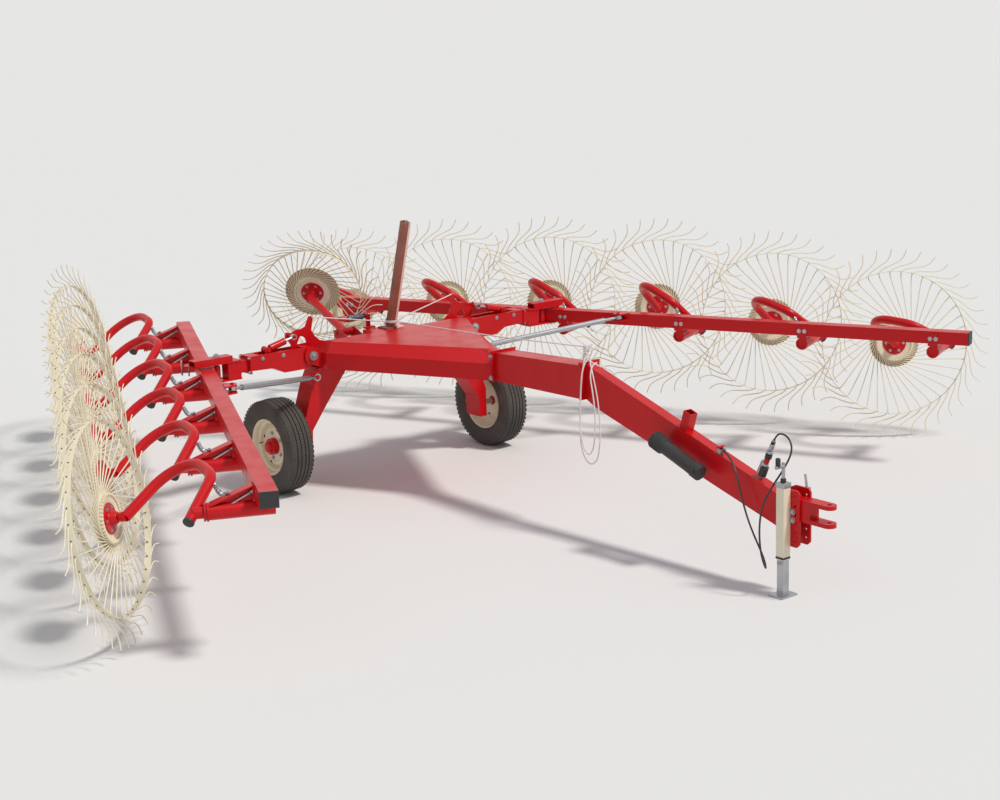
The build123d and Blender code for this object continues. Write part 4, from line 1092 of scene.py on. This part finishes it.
# hanging loops of the pull rope, tied round the flange of the tongue's bend
loopValues = {
    "radius": 0.0042,
    "length": 3.1,
    "route": [
        (-0.040, -2.245, 1.140), (-0.085, -2.262, 1.150), (-0.122, -2.280, 1.100), (-0.128, -2.268, 0.980),
        (-0.130, -2.258, 0.840), (-0.130, -2.254, 0.690), (-0.132, -2.258, 0.580), (-0.132, -2.300, 0.500),
        (-0.132, -2.355, 0.478), (-0.132, -2.412, 0.520), (-0.132, -2.436, 0.620), (-0.132, -2.442, 0.740),
        (-0.130, -2.424, 0.900), (-0.126, -2.380, 1.040), (-0.108, -2.330, 1.128), (-0.070, -2.300, 1.150),
        (-0.104, -2.286, 1.128), (-0.142, -2.290, 1.060), (-0.146, -2.282, 0.940), (-0.147, -2.272, 0.800),
        (-0.148, -2.274, 0.680), (-0.149, -2.300, 0.580), (-0.149, -2.345, 0.540), (-0.149, -2.392, 0.580),
        (-0.148, -2.412, 0.690), (-0.147, -2.414, 0.820), (-0.146, -2.396, 0.940), (-0.140, -2.362, 1.050),
        (-0.104, -2.350, 1.118), (-0.060, -2.340, 1.116),
    ],
}


def addLoops(values):
    route = [at(*place) for place in values["route"]]
    loop = drawCurve("ropeLoops", route, values["radius"], sides=8, steps=6)
    loop.data.materials.append(materials["ropeFibre"])
    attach(loop, "machine")


addLoops(loopValues)

# knot of the pull rope: five turns, a tuft on top and the lashing to the flange
knotValues = {
    "place": (-0.02, -2.205),
    "turnRadius": 0.024,
    "narrowing": 0.002,
    "ropeRadius": 0.0062,
    "turns": [(1.126, 10), (1.142, -14), (1.158, 20), (1.174, -8), (1.188, 16)],  # height, degrees of lean
    "tuft": [(0.004, -2.232, 1.206), (-0.046, -2.224, 1.200), (-0.020, -2.250, 1.196)],
    "lashing": [
        (-0.02, -2.206, 1.13), (-0.075, -2.250, 1.138), (-0.060, -2.330, 1.100), (0.0, -2.400, 1.072),
        (-0.02, -2.462, 1.052),
    ],
}


def addKnot(values):
    knotX, knotY = values["place"]
    parts = []
    for index, (height, lean) in enumerate(values["turns"]):
        bpy.ops.object.select_all(action="DESELECT")
        bpy.ops.mesh.primitive_torus_add(
            major_radius=values["turnRadius"] - values["narrowing"] * index, minor_radius=values["ropeRadius"],
            major_segments=24, minor_segments=8,
            location=at(knotX, knotY, height), rotation=(math.radians(lean), math.radians(lean * 0.7), 0),
        )
        piece = bpy.context.object
        bpy.ops.object.transform_apply()
        parts.append(paint(piece, "ropeFibre"))
    for index, (x, y, z) in enumerate(values["tuft"]):
        strand = [at(knotX, knotY, 1.17), at((x + knotX) / 2, (y + knotY) / 2, 1.205), at(x, y, z)]
        parts.append(tube(f"tuft{index}", strand, 0.004, "ropeFibre", sides=8, steps=5))
    lashing = [at(*place) for place in values["lashing"]]
    parts.append(tube("lashing", lashing, 0.0042, "ropeFibre", sides=8, steps=6))
    return joined("ropeKnot", parts)


settle(addKnot(knotValues), "machine", "white_rope")
drop(boltForm)
print("rope tied")

# pale floor and even light
stageValues = {
    "floorSize": 400,
    "floorColor": (0.80, 0.80, 0.79),
    "seenColor": (0.80, 0.795, 0.785),
    "skyColor": (0.90, 0.93, 1.0),
    "skyStrength": 0.40,
    "lamps": [  # name, direction, strength, spread in degrees, color
        ("sunLight", (0.22, -0.52, 0.82), 2.25, 8, (1.0, 0.97, 0.92)),
        ("fillLight", (-0.8, -0.2, 0.55), 0.25, 60, (0.92, 0.95, 1.0)),
    ],
}


def addFloor(values):
    bpy.ops.object.select_all(action="DESELECT")
    bpy.ops.mesh.primitive_plane_add(size=values["floorSize"], location=(0, 0, -0.001))
    floor = bpy.context.object
    floor.name = "floor"
    material, tree, shader = newMaterial("floorPaper")
    shader.inputs["Base Color"].default_value = (*values["floorColor"], 1)
    shader.inputs["Roughness"].default_value = 0.95
    shader.inputs["Specular IOR Level"].default_value = 0.1
    floor.data.materials.append(material)


def addLights(values):
    world = bpy.data.worlds.new("studio")
    bpy.context.scene.world = world
    world.use_nodes = True
    tree = world.node_tree
    sky = tree.nodes["Background"]
    sky.inputs["Color"].default_value = (*values["skyColor"], 1)
    sky.inputs["Strength"].default_value = values["skyStrength"]
    seen = tree.nodes.new("ShaderNodeBackground")
    seen.inputs["Color"].default_value = (*values["seenColor"], 1)
    path = tree.nodes.new("ShaderNodeLightPath")
    either = mathNode(tree, "MAXIMUM", path.outputs["Is Camera Ray"], path.outputs["Is Glossy Ray"])
    both = tree.nodes.new("ShaderNodeMixShader")
    for socket, source in zip(both.inputs, (either, sky.outputs["Background"], seen.outputs["Background"])):
        feed(tree, socket, source)
    tree.links.new(both.outputs["Shader"], tree.nodes["World Output"].inputs["Surface"])
    for name, toward, strength, spread, color in values["lamps"]:
        data = bpy.data.lights.new(name, "SUN")
        data.energy = strength
        data.angle = math.radians(spread)
        data.color = color
        lamp = bpy.data.objects.new(name, data)
        lamp.rotation_euler = Vector(toward).to_track_quat("Z", "Y").to_euler()
        bpy.context.scene.collection.objects.link(lamp)
    bpy.context.scene.view_settings.view_transform = "Standard"


addFloor(stageValues)
addLights(stageValues)
print("stage set")
